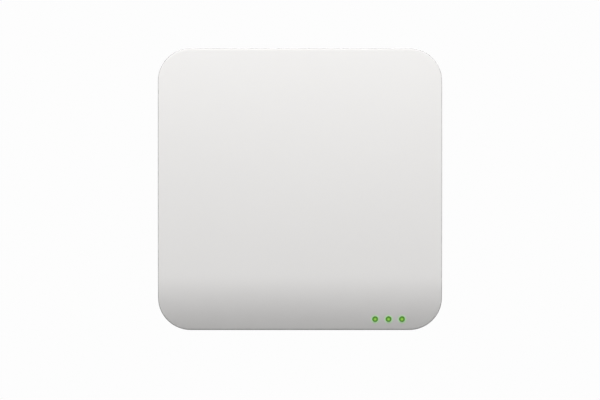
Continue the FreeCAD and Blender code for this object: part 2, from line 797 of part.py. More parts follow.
def rear_cuts():
    """Every recess, bore and passage of the rear housing."""
    recess = new_body("recess_tool")
    pad(recess, "recess_space", "0", "recess_depth",
        [rounded("0 - recess_half", "recess_half", "recess_bottom", "recess_top", "recess_corner")])
    cuts = [
        recess,
        vent_tool(),
        block("bay_space", "0 - bay_width / 2", "bay_width / 2", "0", "bay_depth", "bay_bottom", "bay_top"),
        block("channel_space", "0 - channel_width / 2", "channel_width / 2", "0", "channel_depth",
              "0 - half_height - overrun", "bay_bottom + overrun"),
        block("lock_pocket", "lock_x - lock_tab_width / 2 - 2 * seat_gap",
              "lock_x + lock_tab_width / 2 + 2 * seat_gap", "0", "lock_pocket_depth", "recess_bottom",
              "lock_pocket_top"),
        upright("lock_bore", "lock_x", "lock_depth", "lock_screw / 2 + seat_gap", "lock_seat - overrun",
                "recess_bottom + overrun"),
        upright("lock_counterbore", "lock_x", "lock_depth", "lock_screw_head / 2 + seat_gap",
                "0 - half_height - overrun", "lock_seat"),
        block("jack_window", "0 - jack_width / 2 - seat_gap", "jack_width / 2 + seat_gap",
              "jack_back - seat_gap", "board_depth", "bay_top - overrun", "bay_top + bay_wall + overrun"),
        rod("reset_pinhole", "reset_x", "reset_z", "reset_hole / 2", "0", "recess_inner + overrun"),
    ]
    for name, across, up in CORNERS:
        cuts.append(rod("stud_bore_" + name, f"{across}stud_x", f"{up}stud_z",
                        "stud_shank / 2 + stud_insert_wall + fit_gap", "recess_depth - overrun",
                        "recess_depth + stud_shank_length + fit_gap"))
        x = f"{across}case_screw_x"
        z = f"{up}case_screw_z"
        cuts.append(rod("case_counterbore_" + name, x, z, "case_screw_head / 2 + seat_gap", "0",
                        "case_head_seat"))
        cuts.append(rod("case_bore_" + name, x, z, "case_screw / 2 + seat_gap", "case_head_seat - overrun",
                        "case_seat_depth + overrun"))
        cuts.append(rod("pilot_" + name, f"{across}board_screw_x", f"{up}board_screw_z",
                        "board_screw / 2 + fit_gap", "board_depth - board_screw_length",
                        "board_depth + overrun"))
    return cuts


def rear_housing():
    outside = rear_form("rear_outside", [("ceiling_gap", "rear_taper"),
                                         ("ceiling_gap + rear_shoulder_rise", "rear_shoulder"),
                                         ("parting_depth", "0")])
    soften(outside, "rear_edge", "rear_edge_radius", at_back)
    inside = rear_form("rear_inside", [("floor_inner", "(rear_inner_taper + rear_wall)"),
                                       ("floor_inner + rear_shoulder_rise",
                                        "(rear_inner_shoulder + rear_wall)"),
                                       ("parting_depth + overrun", "rear_wall")])
    space = minus("rear_space", inside, joined("rear_islands", rear_islands()))
    shell = minus("rear_shell", outside, space)
    built = joined("rear_built", [shell, tongue()] + rear_towers())
    return node(minus("rear_cut", built, joined("rear_cuts", rear_cuts())), "rear_housing")


# ---------------------------------------------------------------- fasteners
def hanger_studs():
    studs = []
    for name, across, up in CORNERS:
        x = f"{across}stud_x"
        z = f"{up}stud_z"
        under = "flange_standoff - stud_play"
        studs.append(joined("stud_" + name, [
            rod("stud_head_" + name, x, z, "stud_head / 2", f"{under} - stud_head_thick", under),
            rod("stud_neck_" + name, x, z, "stud_neck / 2", under, "recess_depth"),
            rod("stud_shank_" + name, x, z, "stud_shank / 2", "recess_depth",
                "recess_depth + stud_shank_length - fit_gap")]))
    return node(grouped("stud_set", studs), "hanger_studs")


def tube(name, x, z, outer, inner, near, far):
    wall = rod(name + "_wall", x, z, outer, near, far)
    bore = rod(name + "_bore", x, z, inner, f"{near} - overrun", f"{far} + overrun")
    return minus(name, wall, bore)


def stud_inserts():
    rings = [tube("stud_insert_" + name, f"{across}stud_x", f"{up}stud_z",
                  "stud_shank / 2 + stud_insert_wall", "stud_shank / 2 + fit_gap", "recess_depth",
                  "recess_depth + stud_shank_length")
             for name, across, up in CORNERS]
    return node(grouped("stud_insert_set", rings), "stud_inserts")


def case_screws():
    screws = []
    for name, across, up in CORNERS:
        x = f"{across}case_screw_x"
        z = f"{up}case_screw_z"
        screw = joined("case_screw_" + name, [
            rod("case_screw_head_" + name, x, z, "case_screw_head / 2",
                "case_head_seat - case_screw_head_thick", "case_head_seat"),
            rod("case_screw_shank_" + name, x, z, "case_screw / 2", "case_head_seat",
                "case_head_seat + case_screw_length")])
        top = "case_head_seat - case_screw_head_thick"
        drive = rod("case_screw_drive_" + name, x, z, "case_screw_drive / 2", f"{top} - overrun",
                    f"{top} + case_screw_drive_depth")
        screws.append(minus("case_screw_cut_" + name, screw, drive))
    return node(grouped("case_screw_set", screws), "case_screws")


def case_inserts():
    rings = [tube("case_insert_" + name, f"{across}case_screw_x", f"{up}case_screw_z", "case_insert / 2",
                  "case_screw / 2 + fit_gap", "case_seat_depth", "case_seat_depth + case_insert_length")
             for name, across, up in CORNERS]
    return node(grouped("case_insert_set", rings), "case_inserts")


def board_screws():
    screws = []
    for name, across, up in CORNERS:
        x = f"{across}board_screw_x"
        z = f"{up}board_screw_z"
        screws.append(joined("board_screw_" + name, [
            rod("board_screw_head_" + name, x, z, "board_screw_head / 2", "board_front",
                "board_front + board_screw_head_thick"),
            rod("board_screw_shank_" + name, x, z, "board_screw / 2",
                "board_front - board_screw_length", "board_front")]))
    return node(grouped("board_screw_set", screws), "board_screws")


def lock_screw():
    head = upright("lock_screw_head_form", "lock_x", "lock_depth", "lock_screw_head / 2",
                   "lock_head_top - lock_screw_head_length", "lock_head_top")
    shank = upright("lock_screw_shank", "lock_x", "lock_depth", "lock_screw / 2", "lock_head_top", "lock_tip")
    foot = "lock_head_top - lock_screw_head_length"
    socket = upright("lock_screw_socket", "lock_x", "lock_depth", "lock_screw_drive / 2",
                     f"{foot} - overrun", f"{foot} + lock_screw_drive_length")
    return node(minus("lock_screw_cut", joined("lock_screw_form", [head, shank]), socket), "lock_screw")


# ---------------------------------------------------------------- main board
def main_board():
    board = new_body("main_board")
    pad(board, "board_sheet_pad", "board_depth", "board_sheet",
        [rectangle("0 - board_side", "board_side", "board_bottom", "board_top")])
    pad(board, "light_tab", "board_depth", "board_sheet",
        [rectangle("light_x - light_tab_half", "light_x + light_tab_half", "light_z - light_tab_foot",
                   "board_bottom + light_tab_root")])
    notches = []
    holes = []
    for name, across, up in CORNERS:
        inner_x = f"{across}(case_screw_x - board_notch)"
        outer_x = f"{across}(board_side + overrun)"
        inner_z = f"{up}(case_screw_z - board_notch)"
        outer_z = f"{up}(half_height)"
        left, right = (outer_x, inner_x) if across else (inner_x, outer_x)
        low, high = (outer_z, inner_z) if up else (inner_z, outer_z)
        if name != "right_low":
            notches.append(rectangle(left, right, low, high))
        else:
            notches.append(rectangle(left, right, "board_bottom", high))
        holes.append(circle(f"{across}board_screw_x", f"{up}board_screw_z", "board_screw / 2 + fit_gap"))
    cut(board, "corner_notches", "board_depth", "board_sheet", notches)
    cut(board, "screw_holes", "board_depth", "board_sheet", holes)
    return node(board, "main_board")


def back_parts():
    """Components on the side of the board that faces the ceiling."""
    deep = "board_depth"
    node(centred("magnetics_case", "0", "magnetics_z", "magnetics_width", "magnetics_length",
                 f"{deep} - magnetics_rise", deep), "ethernet_magnetics")
    coil_x = "(0 - power_x)"
    core = centred("core_form", coil_x, "power_z", "core_width", "core_length", f"{deep} - core_rise", deep)
    near = "core_leg / 2"
    far = "(core_leg / 2 + core_window)"
    windows = [block(f"core_window_{side}", f"{coil_x} + {left}", f"{coil_x} + {right}",
                     f"{deep} - core_rise + core_yoke", f"{deep} - core_yoke",
                     "power_z - core_length / 2 - overrun", "power_z + core_length / 2 + overrun")
               for side, left, right in (("left", f"0 - {far}", f"0 - {near}"), ("right", near, far))]
    node(minus("core_cut", core, joined("core_windows", windows)), "poe_transformer_core")
    play = "2 * fit_gap"
    winding = centred("winding_form", coil_x, "power_z", f"2 * ({far} - {play})", "winding_length",
                      f"{deep} - core_rise + core_yoke + {play}", f"{deep} - core_yoke - {play}")
    leg = centred("winding_leg", coil_x, "power_z", f"core_leg + 2 * {play}", f"core_length + 2 * {play}",
                  f"{deep} - core_rise", deep)
    node(minus("winding_cut", winding, leg), "poe_transformer_winding")
    cans = []
    for name, x, z in (("first", "bulk_x", "bulk_z"), ("second", "bulk_x", "(bulk_z + bulk_pitch)"),
                       ("third", "(bulk_x + bulk_third_x)", "(bulk_z + bulk_third_z)")):
        under = f"{deep} - bulk_base_rise"
        cans.append(joined("bulk_" + name, [
            centred("bulk_base_" + name, x, z, "bulk_base", "bulk_base", under, deep),
            rod("bulk_can_" + name, x, z, "bulk_can / 2", f"{deep} - bulk_rise", under)]))
    node(grouped("bulk_set", cans), "bulk_capacitors")
    coils = [centred("inductor_" + name, f"(0 - inductor_x {side} inductor_pitch / 2)", "inductor_z",
                     "inductor_size", "inductor_size", f"{deep} - inductor_rise", deep)
             for name, side in (("left", "-"), ("right", "+"))]
    node(grouped("inductor_set", coils), "power_inductors")


def front_parts():
    """Components on the side of the board that faces the room."""
    top = "board_front"
    node(centred("processor_case", "0", "processor_z", "processor_size", "processor_size", top,
                 "processor_front"), "processor")
    node(centred("pad_form", "0", "processor_z", "thermal_pad_size", "thermal_pad_size",
                 "processor_front", "spreader_depth"), "thermal_pad")
    plate = centred("spreader_plate", "0", "processor_z", "spreader_size", "spreader_size",
                    "spreader_depth", "spreader_depth + spreader_sheet")
    feet = []
    for name, across, up in CORNERS:
        x = f"({across}(spreader_size / 2 - spreader_sheet / 2))"
        z = f"(processor_z + ({up}(spreader_size / 2 - spreader_foot / 2)))"
        feet.append(centred("spreader_foot_" + name, x, z, "spreader_sheet", "spreader_foot", top,
                            "spreader_depth + spreader_sheet / 2"))
    node(joined("spreader_form", [plate] + feet), "heat_spreader")
    node(centred("memory_case", "0", "memory_z", "memory_width", "memory_length", top,
                 f"{top} + memory_thick"), "memory_chip")
    chips = [centred("radio_" + name, x, "can_z", "radio_size", "radio_size", top, f"{top} + radio_thick")
             for name, x in (("left", "(0 - radio_x)"), ("right", "radio_x"))]
    node(grouped("radio_set", chips), "radio_chips")
    rows = new_body("chip_capacitors")
    outer = "(chip_x + chip_length)"
    pair = pad(rows, "chip_pair", top, "chip_rise",
               [rectangle("chip_x", outer, "chip_z", "chip_z + chip_width"),
                rectangle(f"0 - {outer}", "0 - chip_x", "chip_z", "chip_z + chip_width")])
    repeat(rows, "chip_rows", [pair], "Z_Axis", "chip_pitch", "chip_count")
    node(rows, "chip_capacitors")


def shield_can():
    top = "board_front"
    high = "board_front + can_rise"
    wall = centred("can_wall", "0", "can_z", "can_width", "can_height", top, high)
    room = centred("can_room", "0", "can_z", "(can_width - 2 * can_sheet)", "(can_height - 2 * can_sheet)",
                   f"{top} - overrun", f"{high} + overrun")
    node(minus("can_ring", wall, room), "shield_frame")
    grow = "2 * (fit_gap + can_sheet)"
    tray = centred("lid_form", "0", "can_z", f"(can_width + {grow})", f"(can_height + {grow})",
                   f"{top} + lid_lift", f"{high} + can_sheet")
    space = centred("lid_room", "0", "can_z", "(can_width + 2 * fit_gap)", "(can_height + 2 * fit_gap)",
                    f"{top} - overrun", high)
    node(minus("lid_tray", tray, space), "shield_lid")


# ---------------------------------------------------------------- antennas
def antennas():
    half = "patch_size / 2"
    snip = "patch_snip"
    patches = new_body("antenna_patches")
    outlines = []
    posts = []
    pins = []
    for name, across, up in CORNERS:
        x = f"{across}patch_x"
        z = f"{up}patch_z"
        outlines.append(polygon([(f"{x} - {half}", f"{z} - {half}"),
                                 (f"{x} + {half} - {snip}", f"{z} - {half}"),
                                 (f"{x} + {half}", f"{z} - {half} + {snip}"),
                                 (f"{x} + {half}", f"{z} + {half}"),
                                 (f"{x} - {half} + {snip}", f"{z} + {half}"),
                                 (f"{x} - {half}", f"{z} + {half} - {snip}")]))
        for corner, side, rise in CORNERS:
            away = f"({half} - post_inset)"
            posts.append(rod(f"post_{name}_{corner}", f"({x}) + ({side}{away})", f"({z}) + ({rise}{away})",
                             "post_size / 2", "board_front", "patch_depth"))
        pins.append(rod("feed_" + name, x, f"{z} - feed_offset", "feed_pin / 2", "board_front",
                        "patch_depth"))
    pad(patches, "patch_sheets", "patch_depth", "patch_sheet", outlines)
    node(patches, "antenna_patches")
    node(grouped("post_set", posts), "antenna_posts")
    node(grouped("pin_set", pins), "antenna_feed_pins")


# ---------------------------------------------------------------- network jack
CONTACTS = 8


def network_jack():
    form = block("jack_form", "0 - jack_width / 2", "jack_width / 2", "jack_back", "board_depth",
                 "jack_low", "jack_high")
    room = block("jack_room", "0 - jack_width / 2 + jack_skin", "jack_width / 2 - jack_skin",
                 "jack_back + jack_skin", "board_depth + overrun", "jack_low - overrun",
                 "jack_high - jack_skin")
    node(minus("jack_shell", form, room), "ethernet_jack_shell")
    gap = "jack_skin + fit_gap"
    body = block("insert_form", f"0 - jack_width / 2 + {gap}", f"jack_width / 2 - ({gap})",
                 f"jack_back + {gap}", "board_depth - fit_gap", "jack_low + fit_gap", f"jack_high - ({gap})")
    end = "jack_low + plug_length"
    hollows = [
        block("plug_space", "0 - plug_width / 2", "plug_width / 2", "plug_near", "plug_far",
              "jack_low - overrun", end),
        block("latch_space", "0 - plug_latch_width / 2", "plug_latch_width / 2",
              "plug_near - plug_latch_height", "plug_near + overrun", "jack_low - overrun", end),
        block("contact_space", "0 - contact_room / 2", "contact_room / 2", "plug_far - overrun",
              "board_depth", f"{end} - contact_reach - contact_sheet", f"{end} - contact_reach + overrun"),
    ]
    node(minus("insert_cut", body, joined("insert_hollows", hollows)), "ethernet_jack_insert")
    contacts = new_body("ethernet_jack_contacts")
    for place in range(CONTACTS):
        offset = f"{place - (CONTACTS - 1) / 2} * contact_pitch - contact_width / 2"
        sprung = "0 - plug_far + contact_lift"
        bend = "0 - plug_far + contact_reach"
        tail = f"{end} - contact_reach"
        pad(contacts, f"contact_{place}", offset, "contact_width", [polygon([
            (sprung, "jack_low + contact_setback"),
            (f"{sprung} + contact_sheet", "jack_low + contact_setback"),
            (f"{bend} + contact_sheet", f"{tail} + contact_sheet"),
            ("0 - board_depth", f"{tail} + contact_sheet"),
            ("0 - board_depth", tail),
            (bend, tail)])], plane="YZ_Plane")
    node(contacts, "ethernet_jack_contacts")


# ---------------------------------------------------------------- status lights
def status_lights():
    places = [f"(light_x + {place} * light_pitch)" for place in (-1, 0, 1)]
    lamps = [centred(f"lamp_{place}", x, "light_z", "light_chip_width", "light_chip_height", "board_front",
                     "board_front + light_chip_thick") for place, x in enumerate(places)]
    node(grouped("lamp_set", lamps), "status_leds")
    mask = block("mask_form", "light_x - light_tab_half + mask_side", "light_x + light_tab_half - mask_side",
                 "board_front", "mask_top", "light_z - mask_below", "light_z + mask_above")
    windows = [rod(f"mask_window_{place}", x, "light_z", "mask_window / 2", "board_front - overrun",
                   "mask_top + overrun") for place, x in enumerate(places)]
    node(minus("mask_cut", mask, joined("mask_windows", windows)), "light_mask")
    bar = block("pipe_bar", "light_x - light_tab_half + pipe_bar_side",
                "light_x + light_tab_half - pipe_bar_side", "mask_top", "pipe_bar_top",
                "light_z - pipe_bar_below", "light_z + pipe_bar_above")
    rods = [rod(f"pipe_{place}", x, "light_z", "light_pipe / 2", "pipe_bar_top - pipe_root",
                "light_face + light_proud") for place, x in enumerate(places)]
    node(joined("pipe_form", [bar] + rods), "light_pipe")


# ---------------------------------------------------------------- reset switch
def reset_switch():
    case = centred("switch_form", "reset_x", "reset_z", "switch_size", "switch_size",
                   "board_depth - switch_rise", "board_depth")
    well = rod("switch_well", "reset_x", "reset_z", "plunger / 2 + 2 * fit_gap",
               "board_depth - switch_rise - overrun", "plunger_base + reset_travel")
    node(minus("switch_cut", case, well), "reset_switch")
    node(rod("plunger_form", "reset_x", "reset_z", "plunger / 2", "plunger_tip", "plunger_base - fit_gap"),
         "reset_plunger")


mounting_plate()
lock_bush()
front_cover()
rear_housing()
hanger_studs()
stud_inserts()
case_screws()
case_inserts()
board_screws()
lock_screw()
main_board()
back_parts()
front_parts()
shield_can()
antennas()
network_jack()
status_lights()
reset_switch()
doc.recompute()


# ---------------------------------------------------------------- checks and export
for item in doc.Objects:
    if "Invalid" in item.State or "Error" in item.State:
        raise RuntimeError(f"{item.Label} did not build: {item.State}")
    if item.TypeId == "PartDesign::Pocket":
        if item.Shape.Volume >= item.BaseFeature.Shape.Volume - 1e-6:
            raise RuntimeError(f"{item.Label} cuts nothing")

os.makedirs("parts", exist_ok=True)
for item in NODES:
    if item.Shape.isNull() or not item.Shape.isValid():
        raise RuntimeError(f"{item.Label} has no valid shape")
    item.Shape.exportStep(f"parts/{item.Label}.step")
    box = item.Shape.BoundBox
    print(f"{item.Label}: {len(item.Shape.Solids)} solids, {item.Shape.Volume:.1f} mm3, "
          f"x {box.XMin:.2f}..{box.XMax:.2f}, depth {-box.YMax:.2f}..{-box.YMin:.2f}, "
          f"z {box.ZMin:.2f}..{box.ZMax:.2f}")
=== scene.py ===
# %% [markdown]
# # A ceiling access point in Blender
# The construction model is loaded first. It is the frame: every piece in it is already at its real
# size and place, and this lesson only gives the pieces their looks. Lengths are in metres, so a
# small helper turns millimetres into metres, and the box of the whole frame is kept for the camera and the
# floor.

# %% Load the frame
import json
import math
import bmesh
import bpy
from mathutils import Matrix, Vector


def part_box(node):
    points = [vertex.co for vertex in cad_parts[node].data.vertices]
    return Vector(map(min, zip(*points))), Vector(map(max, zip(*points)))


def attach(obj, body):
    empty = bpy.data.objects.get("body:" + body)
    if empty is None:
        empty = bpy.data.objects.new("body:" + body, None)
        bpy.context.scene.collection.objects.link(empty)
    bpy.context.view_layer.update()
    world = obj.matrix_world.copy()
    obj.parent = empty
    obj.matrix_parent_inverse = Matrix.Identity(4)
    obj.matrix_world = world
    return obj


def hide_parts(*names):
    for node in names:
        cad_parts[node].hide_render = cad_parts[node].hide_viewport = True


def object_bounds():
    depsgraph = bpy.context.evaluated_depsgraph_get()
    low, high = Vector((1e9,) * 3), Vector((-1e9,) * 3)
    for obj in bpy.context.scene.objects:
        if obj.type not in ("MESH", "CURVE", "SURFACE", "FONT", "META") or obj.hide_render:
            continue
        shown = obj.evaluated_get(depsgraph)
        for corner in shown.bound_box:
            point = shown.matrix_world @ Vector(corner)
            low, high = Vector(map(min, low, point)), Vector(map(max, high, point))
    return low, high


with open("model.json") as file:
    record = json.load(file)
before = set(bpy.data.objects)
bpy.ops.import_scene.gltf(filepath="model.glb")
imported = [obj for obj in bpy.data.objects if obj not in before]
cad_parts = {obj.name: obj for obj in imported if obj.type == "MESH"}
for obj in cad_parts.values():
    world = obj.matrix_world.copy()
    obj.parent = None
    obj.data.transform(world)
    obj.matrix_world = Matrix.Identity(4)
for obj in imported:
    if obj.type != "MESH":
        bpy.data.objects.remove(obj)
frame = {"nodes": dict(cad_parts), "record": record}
CAD_LOW, CAD_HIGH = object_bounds()
MM = 0.001


def mm(value):
    return value * MM


print("frame box in mm:", [round(1000 * side, 2) for side in CAD_HIGH - CAD_LOW])

# %% [markdown]
# ## Camera
# A product picture of a flat object is taken from far away with a long lens, so that the sides
# don't show and straight edges stay straight. The lens is worked out from the share of the
# picture's width that the face should fill. The camera stands a little below the middle of the
# face, which puts the face a little above the middle of the picture.

# %% Camera
FACE_SHARE = 0.4737
FACE_RAISED = 0.0370
CAMERA_DISTANCE = 1.6
SENSOR = 36.0

face_width = CAD_HIGH.x - CAD_LOW.x
face_middle = (CAD_LOW + CAD_HIGH) / 2
camera_data = bpy.data.cameras.new("camera")
camera_data.sensor_width = SENSOR
camera_data.lens = SENSOR * CAMERA_DISTANCE * FACE_SHARE / face_width
camera = bpy.data.objects.new("camera", camera_data)
camera.location = (face_middle.x, CAD_LOW.y - CAMERA_DISTANCE, face_middle.z - FACE_RAISED * face_width)
camera.rotation_euler = (math.radians(90), 0, 0)
bpy.context.scene.collection.objects.link(camera)
bpy.context.scene.camera = camera
print("lens in mm:", round(camera_data.lens, 1))

# %% [markdown]
# ## Studio
# One large soft light above and in front of the face gives the slow fall of brightness down the
# face, and lets the chin, which curls back, go grey. The world adds a little light from all
# round, less from below. The camera sees the world as plain near-white paper: Light Path tells
# the camera's own rays apart from the light that falls on the object. A light behind the object
# and one at each side only reach its back and its edges.

# %% Studio
PAPER_WHITE = 0.982
SKY_LIGHT = 0.140
GROUND_LIGHT = 0.040
HORIZON_SOFTNESS = 0.4
KEY_ELEVATION = 62.0
KEY_DISTANCE = 1.6
KEY_SIZE = 0.6
KEY_POWER = 38.5
SIDE_POWER = 1.2
BACK_POWER = 3.5


def soft_light(name, place, size, power):
    """A square area light that looks at the middle of the object."""
    data = bpy.data.lights.new(name, "AREA")
    data.shape = "SQUARE"
    data.size = size
    data.energy = power
    light = bpy.data.objects.new(name, data)
    light.location = place
    light.rotation_euler = (-Vector(place)).to_track_quat("-Z", "Y").to_euler()
    light.visible_camera = False
    bpy.context.scene.collection.objects.link(light)
    return light


def paper_world():
    world = bpy.data.worlds.new("paper_world")
    bpy.context.scene.world = world
    world.use_nodes = True
    nodes = world.node_tree.nodes
    links = world.node_tree.links
    nodes.clear()
    coords = nodes.new("ShaderNodeTexCoord")
    split = nodes.new("ShaderNodeSeparateXYZ")
    links.new(coords.outputs["Generated"], split.inputs[0])
    ramp = nodes.new("ShaderNodeMapRange")
    ramp.inputs["From Min"].default_value = -HORIZON_SOFTNESS
    ramp.inputs["From Max"].default_value = HORIZON_SOFTNESS
    ramp.inputs["To Min"].default_value = GROUND_LIGHT
    ramp.inputs["To Max"].default_value = SKY_LIGHT
    links.new(split.outputs["Z"], ramp.inputs["Value"])
    falling = nodes.new("ShaderNodeBackground")
    links.new(ramp.outputs["Result"], falling.inputs["Strength"])
    paper = nodes.new("ShaderNodeBackground")
    paper.inputs["Color"].default_value = (PAPER_WHITE, PAPER_WHITE, PAPER_WHITE, 1)
    path = nodes.new("ShaderNodeLightPath")
    mix = nodes.new("ShaderNodeMixShader")
    links.new(path.outputs["Is Camera Ray"], mix.inputs[0])
    links.new(falling.outputs[0], mix.inputs[1])
    links.new(paper.outputs[0], mix.inputs[2])
    out = nodes.new("ShaderNodeOutputWorld")
    links.new(mix.outputs[0], out.inputs[0])


paper_world()
key_angle = math.radians(KEY_ELEVATION)
soft_light("key_above_front", (0, -KEY_DISTANCE * math.cos(key_angle), KEY_DISTANCE * math.sin(key_angle)),
           KEY_SIZE, KEY_POWER)
soft_light("light_behind", (0.25, 0.60, 0.42), 0.80, BACK_POWER)
for side in (-1, 1):
    soft_light("light_beside", (side * 0.58, 0.26, 0.30), 0.30, SIDE_POWER)
bpy.context.scene.view_settings.view_transform = "Standard"

# %% [markdown]
# ## Floor
# The floor is a plain pale disc well below the object, which carries a little soft light up from
# below and shows in views from above. It lies low enough for the straight-on view to see only
# paper behind the face. To the camera it is lifted towards the colour of the paper, so that it
# stays pale where little light falls on it.

# %% Floor
FLOOR_DROP = 0.72
FLOOR_RADIUS = 5.2
FLOOR_GREY = 0.84
FLOOR_LIFT = 0.65


def plain_floor():
    mesh = bpy.data.meshes.new("floor")
    builder = bmesh.new()
    bmesh.ops.create_circle(builder, cap_ends=True, radius=FLOOR_RADIUS, segments=96)
    builder.to_mesh(mesh)
    builder.free()
    floor = bpy.data.objects.new("floor", mesh)
    floor.location = (0, 0, CAD_LOW.z - FLOOR_DROP)
    bpy.context.scene.collection.objects.link(floor)
    paint = bpy.data.materials.new("pale_floor")
    paint.use_nodes = True
    tree = paint.node_tree
    shader = tree.nodes["Principled BSDF"]
    shader.inputs["Base Color"].default_value = (FLOOR_GREY, FLOOR_GREY, FLOOR_GREY, 1)
    shader.inputs["Roughness"].default_value = 0.9
    paper = tree.nodes.new("ShaderNodeEmission")
    paper.inputs["Color"].default_value = (PAPER_WHITE, PAPER_WHITE, PAPER_WHITE, 1)
    path = tree.nodes.new("ShaderNodeLightPath")
    lift = tree.nodes.new("ShaderNodeMath")
    lift.operation = "MULTIPLY"
    lift.inputs[1].default_value = FLOOR_LIFT
    mix = tree.nodes.new("ShaderNodeMixShader")
    tree.links.new(path.outputs["Is Camera Ray"], lift.inputs[0])
    tree.links.new(lift.outputs[0], mix.inputs[0])
    tree.links.new(shader.outputs[0], mix.inputs[1])
    tree.links.new(paper.outputs[0], mix.inputs[2])
    tree.links.new(mix.outputs[0], tree.nodes["Material Output"].inputs[0])
    mesh.materials.append(paint)


plain_floor()

# %% [markdown]
# ## Shared effects
# Some effects are used by more than one material, so each is a node group: the fine even texture
# of moulded plastic, the faint streaks of rolled or plated sheet metal, the marks that a lathe
# leaves, and the distance from the nearest status light. A group puts out only heights, masks and
# distances that change over the surface. The shader itself stays in each material, where its
# constant sockets are set directly.


# %% Node group helpers
def new_group(name, inputs, outputs):
    group = bpy.data.node_groups.new(name, "ShaderNodeTree")
    for label, value in inputs.items():
        entry = group.interface.new_socket(name=label, in_out="INPUT", socket_type="NodeSocketFloat")
        entry.default_value = value
    for label in outputs:
        group.interface.new_socket(name=label, in_out="OUTPUT", socket_type="NodeSocketFloat")
    return group, group.nodes.new("NodeGroupInput"), group.nodes.new("NodeGroupOutput")


def noise_node(group, scale_socket, detail, stretch=(1.0, 1.0, 1.0)):
    """A noise on Object coordinates, stretched along an axis where that is given."""
    coords = group.nodes.new("ShaderNodeTexCoord")
    mapping = group.nodes.new("ShaderNodeMapping")
    mapping.inputs["Scale"].default_value = stretch
    noise = group.nodes.new("ShaderNodeTexNoise")
    noise.inputs["Detail"].default_value = detail
    group.links.new(coords.outputs["Object"], mapping.inputs["Vector"])
    group.links.new(mapping.outputs["Vector"], noise.inputs["Vector"])
    group.links.new(scale_socket, noise.inputs["Scale"])
    return noise


def maths(group, operation, *values):
    """One Math node; each value is a socket or a plain number."""
    node = group.nodes.new("ShaderNodeMath")
    node.operation = operation
    for place, value in enumerate(values):
        if isinstance(value, (int, float)):
            node.inputs[place].default_value = value
        else:
            group.links.new(value, node.inputs[place])
    return node.outputs[0]


# %% Plastic, sheet metal and lathe marks
def make_moulded_texture():
    group, source, result = new_group("moulded_texture", {"Grain Scale": 2600.0, "Cloud Scale": 14.0},
                                      ["Height", "Mask"])
    grain = noise_node(group, source.outputs["Grain Scale"], 3.0)
    cloud = noise_node(group, source.outputs["Cloud Scale"], 2.0)
    group.links.new(grain.outputs["Fac"], result.inputs["Height"])
    group.links.new(cloud.outputs["Fac"], result.inputs["Mask"])
    return group


def make_rolled_streaks():
    group, source, result = new_group("rolled_streaks", {"Streak Scale": 420.0, "Patch Scale": 70.0},
                                      ["Height", "Mask"])
    streak = noise_node(group, source.outputs["Streak Scale"], 5.0, (1.0, 1.0, 0.03))
    patch = noise_node(group, source.outputs["Patch Scale"], 5.0)
    both = maths(group, "MULTIPLY_ADD", streak.outputs["Fac"], 0.5, maths(group, "MULTIPLY",
                                                                         patch.outputs["Fac"], 0.5))
    group.links.new(streak.outputs["Fac"], result.inputs["Height"])
    group.links.new(both, result.inputs["Mask"])
    return group


def make_lathe_marks():
    group, source, result = new_group("lathe_marks", {"Ring Scale": 5200.0, "Stain Scale": 500.0},
                                      ["Height", "Mask"])
    rings = noise_node(group, source.outputs["Ring Scale"], 1.0, (0.02, 1.0, 0.02))
    stain = noise_node(group, source.outputs["Stain Scale"], 4.0)
    group.links.new(rings.outputs["Fac"], result.inputs["Height"])
    group.links.new(stain.outputs["Fac"], result.inputs["Mask"])
    return group


MOULDED = make_moulded_texture()
ROLLED = make_rolled_streaks()
TURNED = make_lathe_marks()
print("node groups:", [group.name for group in (MOULDED, ROLLED, TURNED)])

# %% [markdown]
# ## Finishes
# Most finishes differ only in colour, roughness and which shared effect they use. One short
# function places the group, turns its mask into a small change of colour and roughness, and its
# height into bump. Each finish keeps its own Principled shader.


# %% Finish helper
def shade(colour, share):
    return tuple(min(1.0, part * share) for part in colour) + (1.0,)


def finish(name, colour, roughness, effect, metallic=0.0, bump=0.1, change=0.06, rough_change=0.05,
           height=0.02, **sizes):
    """A material with a shared effect: the mask varies colour and roughness, the height is bump."""
    material = bpy.data.materials.new(name)
    material.use_nodes = True
    tree = material.node_tree
    shader = tree.nodes["Principled BSDF"]
    shader.inputs["Metallic"].default_value = metallic
    group = tree.nodes.new("ShaderNodeGroup")
    group.name = "effect"
    group.node_tree = effect
    for label, value in sizes.items():
        group.inputs[label.replace("_", " ")].default_value = value
    tint = tree.nodes.new("ShaderNodeMix")
    tint.name = "tint"
    tint.data_type = "RGBA"
    tint.inputs[6].default_value = shade(colour, 1 - change)
    tint.inputs[7].default_value = shade(colour, 1 + change)
    tree.links.new(group.outputs["Mask"], tint.inputs[0])
    tree.links.new(tint.outputs[2], shader.inputs["Base Color"])
    rough = tree.nodes.new("ShaderNodeMapRange")
    rough.inputs["To Min"].default_value = roughness - rough_change
    rough.inputs["To Max"].default_value = roughness + rough_change
    tree.links.new(group.outputs["Mask"], rough.inputs["Value"])
    tree.links.new(rough.outputs["Result"], shader.inputs["Roughness"])
    relief = tree.nodes.new("ShaderNodeBump")
    relief.inputs["Strength"].default_value = bump
    relief.inputs["Distance"].default_value = mm(height)
    tree.links.new(group.outputs["Height"], relief.inputs["Height"])
    tree.links.new(relief.outputs["Normal"], shader.inputs["Normal"])
    return material


